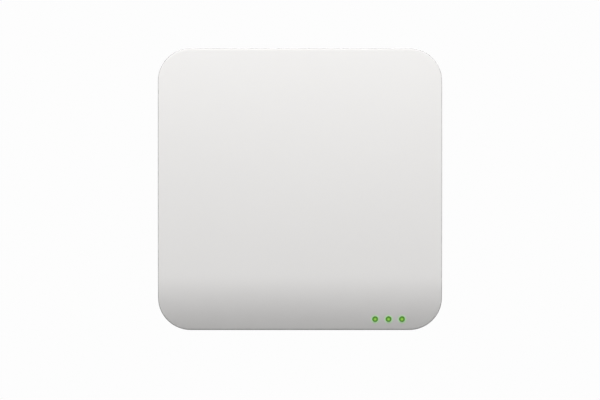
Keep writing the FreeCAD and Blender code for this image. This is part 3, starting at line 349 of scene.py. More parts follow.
# %% Plastics, rubber and ceramics
FINISHES = {}
for name, colour, roughness, bump, change in (
        ("cover_white", (0.855, 0.845, 0.834), 0.46, 0.25, 0.006),
        ("housing_white", (0.76, 0.755, 0.745), 0.52, 0.35, 0.012),
        ("component_black", (0.028, 0.028, 0.030), 0.50, 0.30, 0.20),
        ("ferrite", (0.060, 0.060, 0.066), 0.62, 0.60, 0.25),
        ("winding_tape", (0.74, 0.47, 0.06), 0.30, 0.10, 0.08),
        ("ceramic", (0.42, 0.29, 0.17), 0.50, 0.20, 0.15),
        ("thermal_pad", (0.30, 0.38, 0.48), 0.75, 0.60, 0.08),
        ("nylon", (0.74, 0.72, 0.64), 0.48, 0.20, 0.05),
        ("jack_plastic", (0.030, 0.030, 0.030), 0.42, 0.25, 0.15),
        ("led_green", (0.42, 0.66, 0.30), 0.20, 0.05, 0.10),
        ("mask_rubber", (0.026, 0.026, 0.026), 0.80, 0.50, 0.20),
        ("light_pipe_acrylic", (0.060, 0.130, 0.030), 0.16, 0.02, 0.05),
        ("switch_plastic", (0.040, 0.040, 0.042), 0.50, 0.30, 0.15),
        ("plunger_plastic", (0.56, 0.16, 0.06), 0.40, 0.20, 0.08)):
    FINISHES[name] = finish(name, colour, roughness, MOULDED, bump=bump, change=change)

# %% Sheet metals and turned metals
FINISHES["plate_steel"] = finish("plate_steel", (0.80, 0.805, 0.815), 0.48, ROLLED, metallic=0.60,
                                 bump=0.20, change=0.10, rough_change=0.08)
for name, colour, roughness, change in (
        ("capacitor_can", (0.76, 0.77, 0.79), 0.30, 0.05),
        ("spreader_aluminium", (0.80, 0.80, 0.81), 0.38, 0.05),
        ("tinned_steel", (0.74, 0.75, 0.76), 0.30, 0.06),
        ("patch_metal", (0.78, 0.72, 0.60), 0.34, 0.06),
        ("jack_plating", (0.72, 0.72, 0.71), 0.26, 0.05),
        ("gold_contact", (0.86, 0.62, 0.22), 0.20, 0.06)):
    FINISHES[name] = finish(name, colour, roughness, ROLLED, metallic=0.92, bump=0.15, change=change)
for name, colour, roughness in (("stud_steel", (0.68, 0.68, 0.69), 0.26),
                                ("screw_steel", (0.60, 0.60, 0.62), 0.28),
                                ("brass", (0.74, 0.54, 0.24), 0.26)):
    FINISHES[name] = finish(name, colour, roughness, TURNED, metallic=0.95, bump=0.15, change=0.08)

# %% [markdown]
# ## Printed board
# A circuit board is green lacquer over copper. The copper tracks show through as a paler green,
# in bundles that run straight or at 45 degrees. A Voronoi texture splits the board into fields,
# and each field gets fine bands in its own direction. Small discs of bare copper stand for the
# holes that join the layers.


# %% Board finish
def make_board_finish():
    material = finish("board_laminate", (0.016, 0.120, 0.050), 0.36, MOULDED, change=0.10, Cloud_Scale=60.0)
    tree = material.node_tree
    shader = tree.nodes["Principled BSDF"]
    coords = tree.nodes.new("ShaderNodeTexCoord")
    fields = tree.nodes.new("ShaderNodeTexVoronoi")
    fields.inputs["Scale"].default_value = 70.0
    tree.links.new(coords.outputs["Object"], fields.inputs["Vector"])
    choice = tree.nodes.new("ShaderNodeSeparateColor")
    tree.links.new(fields.outputs["Color"], choice.inputs[0])
    bands = []
    for direction in ("X", "Z", "DIAGONAL"):
        wave = tree.nodes.new("ShaderNodeTexWave")
        wave.bands_direction = direction
        wave.inputs["Scale"].default_value = 330.0
        tree.links.new(coords.outputs["Object"], wave.inputs["Vector"])
        bands.append(maths(tree, "GREATER_THAN", wave.outputs["Fac"], 0.62))
    first = maths(tree, "GREATER_THAN", choice.outputs[0], 0.36)
    second = maths(tree, "GREATER_THAN", choice.outputs[0], 0.74)
    straight = tree.nodes.new("ShaderNodeMix")
    tree.links.new(first, straight.inputs[0])
    tree.links.new(bands[0], straight.inputs[2])
    tree.links.new(bands[1], straight.inputs[3])
    either = tree.nodes.new("ShaderNodeMix")
    tree.links.new(second, either.inputs[0])
    tree.links.new(straight.outputs[0], either.inputs[2])
    tree.links.new(bands[2], either.inputs[3])
    present = maths(tree, "GREATER_THAN", choice.outputs[1], 0.30)
    tracks = maths(tree, "MULTIPLY", either.outputs[0], present)
    copper = tree.nodes.new("ShaderNodeMix")
    copper.data_type = "RGBA"
    copper.inputs[7].default_value = (0.050, 0.260, 0.100, 1)
    tree.links.new(maths(tree, "MULTIPLY", tracks, 0.8), copper.inputs[0])
    tree.links.new(tree.nodes["tint"].outputs[2], copper.inputs[6])
    holes = tree.nodes.new("ShaderNodeTexVoronoi")
    holes.inputs["Scale"].default_value = 260.0
    tree.links.new(coords.outputs["Object"], holes.inputs["Vector"])
    ring = maths(tree, "LESS_THAN", holes.outputs["Distance"], 0.10)
    gold = tree.nodes.new("ShaderNodeMix")
    gold.data_type = "RGBA"
    gold.inputs[7].default_value = (0.70, 0.52, 0.24, 1)
    tree.links.new(ring, gold.inputs[0])
    tree.links.new(copper.outputs[2], gold.inputs[6])
    tree.links.new(gold.outputs[2], shader.inputs["Base Color"])
    tree.links.new(maths(tree, "MULTIPLY", ring, 0.9), shader.inputs["Metallic"])
    return material


FINISHES["board_laminate"] = make_board_finish()
print("finishes:", len(FINISHES))

# %% [markdown]
# ## Lit green plastic
# The three dots on the chin are the ends of clear rods, lit green by small lamps behind them.
# Each end is brightest in its middle and darker towards its edge, where the rod's wall is seen.
# The white cover round each hole is given painted light too: a faint green glow, and green mixed
# into its white colour, as thin white plastic may let some light through. Both follow the distance
# from the rod's own axis.
#
# The narrow rounded rim of the cover should read as a thin grey line. In this studio it faces the
# large light and glares instead. Its colour is therefore painted darker, a painted shade that is a
# choice of looks and not a fact about the plastic. The slant of the surface finds the rim.

# %% Where the lights are
PIPE_RADIUS = mm(1.7)
LAMP_WIDTH = mm(2.0)
LAMPS = 3
lamp_low, lamp_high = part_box("status_leds")
LAMP_PITCH = (lamp_high.x - lamp_low.x - LAMP_WIDTH) / (LAMPS - 1)
LAMP_FIRST = lamp_low.x + LAMP_WIDTH / 2
LAMP_Z = (lamp_low.z + lamp_high.z) / 2
print("lights in mm:", [round(1000 * (LAMP_FIRST + place * LAMP_PITCH), 2) for place in range(LAMPS)],
      "at height", round(1000 * LAMP_Z, 2))


# %% Distance from the nearest light
def make_lamp_distance():
    """Distance from the nearest rod's axis, in rod radii."""
    group, source, result = new_group("lamp_distance", {"First": LAMP_FIRST, "Pitch": LAMP_PITCH,
                                                        "Height": LAMP_Z, "Radius": PIPE_RADIUS}, ["Radii"])
    coords = group.nodes.new("ShaderNodeTexCoord")
    split = group.nodes.new("ShaderNodeSeparateXYZ")
    group.links.new(coords.outputs["Object"], split.inputs[0])
    along = maths(group, "DIVIDE", maths(group, "SUBTRACT", split.outputs["X"], source.outputs["First"]),
                  source.outputs["Pitch"])
    nearest = maths(group, "MINIMUM", maths(group, "MAXIMUM", maths(group, "ROUND", along), 0.0),
                    float(LAMPS - 1))
    across = maths(group, "MULTIPLY", maths(group, "SUBTRACT", along, nearest), source.outputs["Pitch"])
    up = maths(group, "SUBTRACT", split.outputs["Z"], source.outputs["Height"])
    squares = maths(group, "ADD", maths(group, "MULTIPLY", across, across), maths(group, "MULTIPLY", up, up))
    group.links.new(maths(group, "DIVIDE", maths(group, "SQRT", squares), source.outputs["Radius"]),
                    result.inputs["Radii"])
    return group


LAMP_DISTANCE = make_lamp_distance()


# %% Glow of the rods and of the plastic round them
FAR_RADII = 3.0
HALO_EDGE = 1.20
HALO_END = 1.75
RIM_SHADE_SHARE = 0.42
BLACK = (0.0, 0.0, 0.0)
WHITE = (1.0, 1.0, 1.0)


def distance_ramp(tree, stops):
    """A colour ramp over the distance from the nearest light, given as (radii, colour) stops."""
    distance = tree.nodes.new("ShaderNodeGroup")
    distance.node_tree = LAMP_DISTANCE
    ramp = tree.nodes.new("ShaderNodeValToRGB")
    elements = ramp.color_ramp.elements
    while len(elements) < len(stops):
        elements.new(0.5)
    for element, (radii, colour) in zip(elements, stops):
        element.position = radii / FAR_RADII
        element.color = colour + (1.0,)
    tree.links.new(maths(tree, "DIVIDE", distance.outputs["Radii"], FAR_RADII), ramp.inputs["Fac"])
    return ramp.outputs["Color"]


def light_the_rods(material):
    tree = material.node_tree
    shader = tree.nodes["Principled BSDF"]
    glow = distance_ramp(tree, [(0.0, (0.30, 0.62, 0.12)), (0.25, (0.21, 0.46, 0.06)),
                                (0.60, (0.055, 0.19, 0.012)), (1.0, (0.035, 0.13, 0.010))])
    tree.links.new(glow, shader.inputs["Emission Color"])
    shader.inputs["Emission Strength"].default_value = 1.0


def light_the_cover(material):
    tree = material.node_tree
    shader = tree.nodes["Principled BSDF"]
    # Painted light: the cover glows faintly green round each hole, though it is no lamp.
    glow = distance_ramp(tree, [(0.0, (0.03, 0.14, 0.04)), (HALO_EDGE, (0.03, 0.13, 0.04)),
                                (HALO_END, BLACK)])
    tree.links.new(glow, shader.inputs["Emission Color"])
    shader.inputs["Emission Strength"].default_value = 1.0
    # Painted light: round each hole the cover's own colour is tinted green, standing in for the lamps' light
    # on it.
    near = distance_ramp(tree, [(0.0, WHITE), (HALO_EDGE, WHITE), (HALO_END, BLACK)])
    green = tree.nodes.new("ShaderNodeMix")
    green.data_type = "RGBA"
    green.inputs[7].default_value = (0.72, 0.88, 0.62, 1.0)
    tree.links.new(near, green.inputs[0])
    tree.links.new(tree.nodes["tint"].outputs[2], green.inputs[6])
    tree.links.new(green.outputs[2], shader.inputs["Base Color"])


def light_the_lamps(material):
    shader = material.node_tree.nodes["Principled BSDF"]
    shader.inputs["Emission Color"].default_value = (0.30, 0.90, 0.20, 1.0)
    shader.inputs["Emission Strength"].default_value = 1.5


def paint_rim_shade(material):
    """Paint shade on the narrow rounded edge, found by its slanted normal, and leave faces and sides alone.
    """
    tree = material.node_tree
    shader = tree.nodes["Principled BSDF"]
    before = shader.inputs["Base Color"].links[0].from_socket
    geometry = tree.nodes.new("ShaderNodeNewGeometry")
    split = tree.nodes.new("ShaderNodeSeparateXYZ")
    tree.links.new(geometry.outputs["Normal"], split.inputs[0])
    facing = maths(tree, "ABSOLUTE", split.outputs["Y"])
    masks = []
    for start, end in ((0.05, 0.20), (0.92, 0.86)):
        step = tree.nodes.new("ShaderNodeMapRange")
        step.inputs["From Min"].default_value = start
        step.inputs["From Max"].default_value = end
        tree.links.new(facing, step.inputs["Value"])
        masks.append(step.outputs["Result"])
    # Painted shade: the rim's colour is multiplied darker so that it reads as a grey line instead of
    # glaring.
    rim_shade = tree.nodes.new("ShaderNodeMix")
    rim_shade.data_type = "RGBA"
    rim_shade.blend_type = "MULTIPLY"
    rim_shade.inputs[7].default_value = (RIM_SHADE_SHARE, RIM_SHADE_SHARE, RIM_SHADE_SHARE, 1.0)
    tree.links.new(maths(tree, "MULTIPLY", masks[0], masks[1]), rim_shade.inputs[0])
    tree.links.new(before, rim_shade.inputs[6])
    tree.links.new(rim_shade.outputs[2], shader.inputs["Base Color"])


light_the_rods(FINISHES["light_pipe_acrylic"])
light_the_cover(FINISHES["cover_white"])
paint_rim_shade(FINISHES["cover_white"])
light_the_lamps(FINISHES["led_green"])

# %% [markdown]
# ## Helpers for pieces
# A finished piece is a plain mesh at the origin. `keep_piece` links it, gives it its material,
# lets it ride on its body and hides the construction node it stands for.


# %% Piece helpers
SLOT_OF = {entry["node"]: entry["material_slot"] for entry in frame["record"]["subparts"]}
BODY_OF = {node: body for body, nodes in frame["record"]["behaviour"]["bodies"].items() for node in nodes}


def keep_piece(name, mesh, node):
    piece = bpy.data.objects.new(name, mesh)
    bpy.context.scene.collection.objects.link(piece)
    mesh.materials.clear()
    mesh.materials.append(FINISHES[SLOT_OF[node]])
    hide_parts(node)
    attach(piece, BODY_OF[node])
    return piece


def with_modifiers(mesh, *settings):
    """A mesh after a few modifiers, each given as (type, values), turned back to a plain mesh."""
    holder = bpy.data.objects.new("holder", mesh)
    bpy.context.scene.collection.objects.link(holder)
    for kind, values in settings:
        modifier = holder.modifiers.new(kind.lower(), kind)
        for label, value in values.items():
            setattr(modifier, label, value)
    evaluated = holder.evaluated_get(bpy.context.evaluated_depsgraph_get())
    result = bpy.data.meshes.new_from_object(evaluated)
    bpy.data.objects.remove(holder)
    return result


def softened_copy(node, bevel, smooth_angle=32.0, segments=2):
    """A copy of a construction node with merged points, rounded edges and smooth shading."""
    builder = bmesh.new()
    builder.from_mesh(frame["nodes"][node].data)
    bmesh.ops.remove_doubles(builder, verts=builder.verts, dist=mm(0.002))
    bmesh.ops.dissolve_limit(builder, angle_limit=math.radians(0.4), verts=builder.verts,
                             edges=builder.edges, use_dissolve_boundaries=False)
    for face in builder.faces:
        face.smooth = True
    mesh = bpy.data.meshes.new(node + "_finished")
    builder.to_mesh(mesh)
    builder.free()
    angle = math.radians(smooth_angle)
    steps = []
    if bevel:
        steps.append(("BEVEL", {"width": mm(bevel), "segments": segments, "limit_method": "ANGLE",
                                "angle_limit": angle, "harden_normals": True}))
    steps.append(("WEIGHTED_NORMAL", {"keep_sharp": True}))
    mesh.set_sharp_from_angle(angle=angle)
    return with_modifiers(mesh, *steps)

# %% [markdown]
# ## Front cover
# The cover is what the picture shows: a rounded square, flat from side to side, very slightly
# crowned from top to bottom, with a chin that curls back near its lower edge. A subdivided cube
# would pull all four sides in alike, which is wrong here. So the skin is built in rings: each ring
# is the same rounded square, a little further in, and each point's depth follows the side profile
# of face and chin. The outer edge is rounded over by half a
# millimetre, which is a guess.

# %% Front cover sizes
CORNER = mm(19.5)
WALL = mm(2.2)
RIM = mm(0.5)
FACE_RADIUS = mm(1800.0)
FACE_CREST = mm(10.0)
CHIN_LENGTH = mm(32.4)
CHIN_RADIUS = mm(89.0)
cover_low, cover_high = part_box("front_cover")
HALF_X = (cover_high.x - cover_low.x) / 2
HALF_Z = (cover_high.z - cover_low.z) / 2
COVER_EDGE = -cover_high.y
CREST_DEPTH = mm(36.0)
chin_top = CHIN_LENGTH - HALF_Z
chin_sine = (FACE_CREST - chin_top) / FACE_RADIUS
chin_cosine = math.sqrt(1 - chin_sine ** 2)
chin_centre_depth = CREST_DEPTH - FACE_RADIUS + (FACE_RADIUS - CHIN_RADIUS) * chin_cosine
chin_centre_z = chin_top + CHIN_RADIUS * chin_sine


def face_depth(z, wall=0.0):
    """Depth of the face, or of its inner side, at a height."""
    if z > chin_top:
        return CREST_DEPTH - FACE_RADIUS + math.sqrt((FACE_RADIUS - wall) ** 2 - (z - FACE_CREST) ** 2)
    return chin_centre_depth + math.sqrt((CHIN_RADIUS - wall) ** 2 - (z - chin_centre_z) ** 2)


print("face depth at crest, chin and lower edge in mm:",
      [round(1000 * face_depth(z), 2) for z in (FACE_CREST, chin_top, -HALF_Z)])


# %% Rounded-square rings
SIDE_STEPS = 84
CORNER_STEPS = 14


def ring_points(inset, corner):
    """Points of a rounded square, anticlockwise from the front, evenly spread along each side."""
    half_x = HALF_X - inset
    half_z = HALF_Z - inset
    radius = max(corner - inset, mm(1.5))
    flat_x = half_x - radius
    flat_z = half_z - radius
    points = []
    for turn, (centre_x, centre_z) in enumerate(((flat_x, flat_z), (-flat_x, flat_z),
                                                 (-flat_x, -flat_z), (flat_x, -flat_z))):
        for step in range(CORNER_STEPS):
            angle = math.pi / 2 * (turn + step / CORNER_STEPS)
            points.append((centre_x + radius * math.cos(angle), centre_z + radius * math.sin(angle)))
        end = math.pi / 2 * (turn + 1)
        start_x = centre_x + radius * math.cos(end)
        start_z = centre_z + radius * math.sin(end)
        reach = 2 * (flat_z if turn % 2 else flat_x)
        step_x, step_z = ((-1, 0), (0, -1), (1, 0), (0, 1))[turn]
        for step in range(SIDE_STEPS):
            share = reach * step / SIDE_STEPS
            points.append((start_x + step_x * share, start_z + step_z * share))
    return points


def bridge(builder, outer, inner):
    count = len(outer)
    for place in range(count):
        after = (place + 1) % count
        builder.faces.new((outer[place], outer[after], inner[after], inner[place]))


def add_ring(builder, inset, depth_of):
    return [builder.verts.new((x, -depth_of(z), z)) for x, z in ring_points(inset, CORNER)]


def cover_skin():
    """Outside, rolled edge, open back and inside of the cover as one closed shell."""
    builder = bmesh.new()
    rings = []
    lip = mm(0.3)
    for share in range(4):
        turn = math.pi / 2 * share / 3
        rings.append(add_ring(builder, WALL - lip + lip * math.cos(turn),
                              lambda z, turn=turn: COVER_EDGE + lip - lip * math.sin(turn)))
    for share in range(4):
        turn = math.pi / 2 * share / 3
        rings.append(add_ring(builder, lip - lip * math.sin(turn),
                              lambda z, turn=turn: COVER_EDGE + lip - lip * math.cos(turn)))
    for step in range(7):
        turn = math.pi / 2 * step / 6
        inset = RIM * (1 - math.cos(turn))
        rings.append(add_ring(builder, inset,
                              lambda z, turn=turn: face_depth(z) - RIM * (1 - math.sin(turn))))
    inset = RIM
    while inset < HALF_Z - mm(3):
        inset += mm(1.2) if inset < CHIN_LENGTH + mm(4) else mm(4.0)
        rings.append(add_ring(builder, min(inset, HALF_Z - mm(2.5)), face_depth))
    for outer, inner in zip(rings, rings[1:]):
        bridge(builder, outer, inner)
    builder.faces.new(rings[-1])
    inner_rings = [rings[0]]
    for inset in [WALL] + [WALL + mm(step) for step in (1, 3, 6, 10, 14, 18, 22, 26, 30, 36, 46, 60, 76)]:
        inner_rings.append(add_ring(builder, inset, lambda z: face_depth(z, WALL)))
    for outer, inner in zip(inner_rings, inner_rings[1:]):
        bridge(builder, inner, outer)
    builder.faces.new(list(reversed(inner_rings[-1])))
    mesh = bpy.data.meshes.new("cover_skin")
    builder.to_mesh(mesh)
    builder.free()
    return mesh


def cylinder_mesh(name, rods, sides=48):
    """Plain cylinders along the depth, each given as (x, z, radius, near, far)."""
    builder = bmesh.new()
    for x, z, radius, near, far in rods:
        place = Matrix.Translation((x, -(near + far) / 2, z)) @ Matrix.Rotation(math.pi / 2, 4, "X")
        bmesh.ops.create_cone(builder, cap_ends=True, segments=sides, radius1=radius, radius2=radius,
                              depth=far - near, matrix=place)
    mesh = bpy.data.meshes.new(name)
    builder.to_mesh(mesh)
    builder.free()
    return mesh


def cut_out(mesh, tool_mesh, operation="DIFFERENCE"):
    tool = bpy.data.objects.new("tool", tool_mesh)
    bpy.context.scene.collection.objects.link(tool)
    result = with_modifiers(mesh, ("BOOLEAN", {"operation": operation, "object": tool, "solver": "EXACT"}))
    bpy.data.objects.remove(tool)
    return result


LIGHT_HOLE = PIPE_RADIUS + mm(0.1)
BOSS = mm(4.2)
insert_low, insert_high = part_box("case_inserts")
INSERT = mm(2.3)
BOSS_X = insert_high.x - INSERT
BOSS_Z = insert_high.z - INSERT
BOSS_FOOT = -insert_high.y
INSERT_END = -insert_low.y
skin = cover_skin()
corners = [(side * BOSS_X, rise * BOSS_Z) for side in (1, -1) for rise in (1, -1)]
bosses = cylinder_mesh("bosses", [(x, z, BOSS, BOSS_FOOT, face_depth(z) - WALL / 2) for x, z in corners])
skin = cut_out(skin, bosses, "UNION")
bores = [(x, z, INSERT + mm(0.1), BOSS_FOOT - mm(1), INSERT_END + mm(0.1)) for x, z in corners]
lamp_places = [LAMP_FIRST + place * LAMP_PITCH for place in range(LAMPS)]
bores += [(x, LAMP_Z, LIGHT_HOLE, mm(26), mm(38)) for x in lamp_places]
skin = cut_out(skin, cylinder_mesh("bores", bores))
for polygon in skin.polygons:
    polygon.use_smooth = True
skin.set_sharp_from_angle(angle=math.radians(40))
keep_piece("front_cover_skin", skin, "front_cover")
print("cover triangles:", sum(len(polygon.vertices) - 2 for polygon in skin.polygons))

# %% [markdown]
# ## Light pipe
# Each rod of the light pipe ends in a shallow dome that stands just proud of the chin. The rods
# are turned shapes, so a short profile is spun, and Geometry Nodes set it three times along a
# line at the lamps' pitch.


# %% Geometry Nodes and spinning helpers
TURNED_ANGLE = math.radians(35)


def node_tree(name, sizes):
    """A geometry tree with the piece as input and its sizes as named inputs."""
    tree = bpy.data.node_groups.new(name, "GeometryNodeTree")
    tree.interface.new_socket(name="Piece", in_out="INPUT", socket_type="NodeSocketGeometry")
    for label, kind in sizes:
        tree.interface.new_socket(name=label, in_out="INPUT", socket_type=kind)
    tree.interface.new_socket(name="Pieces", in_out="OUTPUT", socket_type="NodeSocketGeometry")
    return tree, tree.nodes.new("NodeGroupInput"), tree.nodes.new("NodeGroupOutput")


def close_tree(tree, source, result, points):
    """Set the piece on every point, make the copies real and give them their material."""
    place = tree.nodes.new("GeometryNodeInstanceOnPoints")
    real = tree.nodes.new("GeometryNodeRealizeInstances")
    paint = tree.nodes.new("GeometryNodeSetMaterial")
    tree.links.new(points, place.inputs["Points"])
    tree.links.new(source.outputs["Piece"], place.inputs["Instance"])
    tree.links.new(place.outputs["Instances"], real.inputs["Geometry"])
    tree.links.new(real.outputs["Geometry"], paint.inputs["Geometry"])
    tree.links.new(source.outputs["Finish"], paint.inputs["Material"])
    tree.links.new(paint.outputs["Geometry"], result.inputs["Pieces"])


def make_row_tree():
    tree, source, result = node_tree("row_of_pieces", [("Count", "NodeSocketInt"),
                                                       ("Step", "NodeSocketVector"),
                                                       ("Finish", "NodeSocketMaterial")])
    line = tree.nodes.new("GeometryNodeMeshLine")
    line.mode = "OFFSET"
    tree.links.new(source.outputs["Count"], line.inputs["Count"])
    tree.links.new(source.outputs["Step"], line.inputs["Offset"])
    close_tree(tree, source, result, line.outputs["Mesh"])
    return tree


def make_corner_tree():
    tree, source, result = node_tree("pieces_at_corners", [("Across", "NodeSocketFloat"),
                                                           ("Up", "NodeSocketFloat"),
                                                           ("Columns", "NodeSocketInt"),
                                                           ("Rows", "NodeSocketInt"),
                                                           ("Finish", "NodeSocketMaterial")])
    grid = tree.nodes.new("GeometryNodeMeshGrid")
    tree.links.new(source.outputs["Across"], grid.inputs["Size X"])
    tree.links.new(source.outputs["Up"], grid.inputs["Size Y"])
    tree.links.new(source.outputs["Columns"], grid.inputs["Vertices X"])
    tree.links.new(source.outputs["Rows"], grid.inputs["Vertices Y"])
    upright = tree.nodes.new("GeometryNodeTransform")
    upright.inputs["Rotation"].default_value = (math.radians(90), 0, 0)
    tree.links.new(grid.outputs["Mesh"], upright.inputs["Geometry"])
    close_tree(tree, source, result, upright.outputs["Geometry"])
    return tree


ROW_TREE = make_row_tree()
CORNER_TREE = make_corner_tree()


def repeated(mesh, tree, values):
    """Run a geometry tree on a mesh and return the result as one plain mesh."""
    holder = bpy.data.objects.new("holder", mesh)
    bpy.context.scene.collection.objects.link(holder)
    modifier = holder.modifiers.new("tree", "NODES")
    modifier.node_group = tree
    for entry in tree.interface.items_tree:
        if entry.in_out == "INPUT" and entry.name in values:
            modifier[entry.identifier] = values[entry.name]
    bpy.context.view_layer.update()
    result = bpy.data.meshes.new_from_object(holder.evaluated_get(bpy.context.evaluated_depsgraph_get()))
    bpy.data.objects.remove(holder)
    return result


def spun(name, profile, x, z, sides=40):
    """A turned piece: a profile of (radius, depth) pairs spun round an axis along the depth."""
    builder = bmesh.new()
    rings = []
    for radius, depth in profile:
        if radius < 1e-7:
            rings.append([builder.verts.new((x, -depth, z))])
            continue
        rings.append([builder.verts.new((x + radius * math.cos(2 * math.pi * step / sides), -depth,
                                         z + radius * math.sin(2 * math.pi * step / sides)))
                      for step in range(sides)])
    for one, two in zip(rings, rings[1:]):
        for step in range(sides):
            after = (step + 1) % sides
            corners = [one[step % len(one)], one[after % len(one)],
                       two[after % len(two)], two[step % len(two)]]
            unique = [corner for place, corner in enumerate(corners) if corner not in corners[:place]]
            if len(unique) > 2:
                builder.faces.new(unique)
    bmesh.ops.recalc_face_normals(builder, faces=builder.faces)
    for face in builder.faces:
        face.smooth = True
    mesh = bpy.data.meshes.new(name)
    builder.to_mesh(mesh)
    builder.free()
    mesh.set_sharp_from_angle(angle=TURNED_ANGLE)
    return mesh


# %% Light pipe
ROD_PROUD = mm(0.22)
ROD_ROOT = mm(1.6)
ROD_SHOULDER = mm(0.55)
ROD_DOME = mm(0.5)
BAR_THICK = mm(1.8)
BAR_EDGE = mm(0.3)
pipe_low, pipe_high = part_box("light_pipe")


def rod_profile():
    top = face_depth(LAMP_Z) + ROD_PROUD
    base = -pipe_high.y + ROD_ROOT
    profile = [(0.0, base), (PIPE_RADIUS, base), (PIPE_RADIUS, top - ROD_SHOULDER)]
    for step in range(1, 7):
        turn = math.pi / 2 * step / 6
        profile.append((PIPE_RADIUS * math.cos(turn), top - ROD_SHOULDER + ROD_DOME * math.sin(turn)))
    return profile


def joined_mesh(name, meshes):
    builder = bmesh.new()
    for mesh in meshes:
        builder.from_mesh(mesh)
    result = bpy.data.meshes.new(name)
    builder.to_mesh(result)
    builder.free()
    return result


def box_mesh(name, low, high, bevel=0.0):
    """A box between two corners, with its edges rounded."""
    builder = bmesh.new()
    bmesh.ops.create_cube(builder, size=1.0)
    for vertex in builder.verts:
        vertex.co = Vector([(low[axis] + high[axis]) / 2 + vertex.co[axis] * (high[axis] - low[axis])
                            for axis in range(3)])
    if bevel:
        bmesh.ops.bevel(builder, geom=list(builder.edges), offset=bevel, segments=2, affect="EDGES",
                        profile=0.6)
    mesh = bpy.data.meshes.new(name)
    builder.to_mesh(mesh)
    builder.free()
    return mesh


one_rod = spun("one_rod", rod_profile(), LAMP_FIRST, LAMP_Z)
rods = repeated(one_rod, ROW_TREE, {"Count": LAMPS, "Step": (LAMP_PITCH, 0, 0),
                                    "Finish": FINISHES["light_pipe_acrylic"]})
bar = box_mesh("pipe_bar", (pipe_low.x, pipe_high.y - BAR_THICK, pipe_low.z),
               (pipe_high.x, pipe_high.y, pipe_high.z), BAR_EDGE)
keep_piece("light_pipe_rods", joined_mesh("light_pipe_rods", [rods, bar]), "light_pipe")

# %% [markdown]
# ## Rear housing and mounting plate
# These two have many small cuts that the construction model already gives exactly. Their shapes
# stay as they are: the copy only gets merged points, a small rounding along its real edges and
# clean smooth shading, because a moulded or punched edge is never a perfect line.

# %% Rear housing and plate
HOUSING_BEVEL = 0.15
PLATE_BEVEL = 0.18
keep_piece("rear_housing_shell", softened_copy("rear_housing", HOUSING_BEVEL), "rear_housing")
keep_piece("mounting_plate_sheet", softened_copy("mounting_plate", PLATE_BEVEL), "mounting_plate")

# %% [markdown]
# ## Screws, studs and inserts
# These are turned on a lathe, so each one is a short profile spun round its axis. Threads are
# drawn as a row of small V grooves. Knurling on an insert is drawn the same way, as grooves that
# bite into the plastic. One piece is made at the middle of the part, and the corner tree sets it
# at its four places.


# %% Profiles of turned pieces
# Radii in millimetres
STUD_HEAD = 4.0
STUD_INSERT = 2.6
CASE_SCREW_HEAD = 2.8
CASE_INSERT = 2.3
BOARD_SCREW_HEAD = 2.5
KNURL_PITCH = 0.7
KNURL_BITE = 0.15


def thread(radius, start, end, pitch=0.5, bite=0.22):
    """V grooves between two depths, all in millimetres."""
    turns = max(1, round(abs(end - start) / pitch))
    points = []
    for turn in range(turns):
        begin = start + (end - start) * turn / turns
        after = start + (end - start) * (turn + 1) / turns
        points += [(radius - bite, begin), (radius, (begin + after) / 2)]
    return points + [(radius - bite, end)]


def in_metres(profile):
    return [(mm(radius), mm(depth)) for radius, depth in profile]


def recess_mesh(name, lobes, outer, inner, near, far):
    """A star-shaped drive recess at the middle, for a tool with the given number of lobes."""
    builder = bmesh.new()
    ring = []
    steps = lobes * 8
    for step in range(steps):
        turn = 2 * math.pi * step / steps
        radius = (outer + inner) / 2 + (outer - inner) / 2 * math.cos(lobes * turn)
        ring.append(builder.verts.new((mm(radius) * math.cos(turn), -mm(near), mm(radius) * math.sin(turn))))
    floor = builder.faces.new(ring)
    moved = bmesh.ops.extrude_face_region(builder, geom=[floor])
    for item in moved["geom"]:
        if isinstance(item, bmesh.types.BMVert):
            item.co.y = -mm(far)
    bmesh.ops.recalc_face_normals(builder, faces=builder.faces)
    mesh = bpy.data.meshes.new(name)
    builder.to_mesh(mesh)
    builder.free()
    return mesh


def smoothed(mesh):
    for polygon in mesh.polygons:
        polygon.use_smooth = True
    mesh.set_sharp_from_angle(angle=TURNED_ANGLE)
    return mesh


def at_corners(node, mesh, radius):
    """Set a piece made at the middle at the four corners that its construction node fills."""
    low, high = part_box(node)
    values = {"Across": high.x - low.x - 2 * mm(radius), "Up": high.z - low.z - 2 * mm(radius),
              "Columns": 2, "Rows": 2, "Finish": FINISHES[SLOT_OF[node]]}
    keep_piece(node + "_turned", smoothed(repeated(mesh, CORNER_TREE, values)), node)
    print(node, "spread in mm:", round(1000 * values["Across"], 2), "x", round(1000 * values["Up"], 2))


# %% Hanger studs and their inserts
stud = spun("one_stud", in_metres([(0, 1.6), (3.55, 1.6), (3.85, 1.75), (4.0, 2.05), (4.0, 2.75), (3.8, 3.1),
                                   (2.2, 3.1), (2.0, 3.3), (2.0, 5.4), (1.5, 5.4)]
                                  + thread(1.5, 5.6, 11.0) + [(0, 11.3)]), 0, 0)
at_corners("hanger_studs", stud, STUD_HEAD)
stud_insert = spun("one_stud_insert", in_metres([(1.6, 5.4), (2.5, 5.4)]
                                                + thread(STUD_INSERT, 5.6, 11.2, KNURL_PITCH, KNURL_BITE)
                                                + [(2.5, 11.4), (1.6, 11.4), (1.6, 5.4)]), 0, 0)
at_corners("stud_inserts", stud_insert, STUD_INSERT)

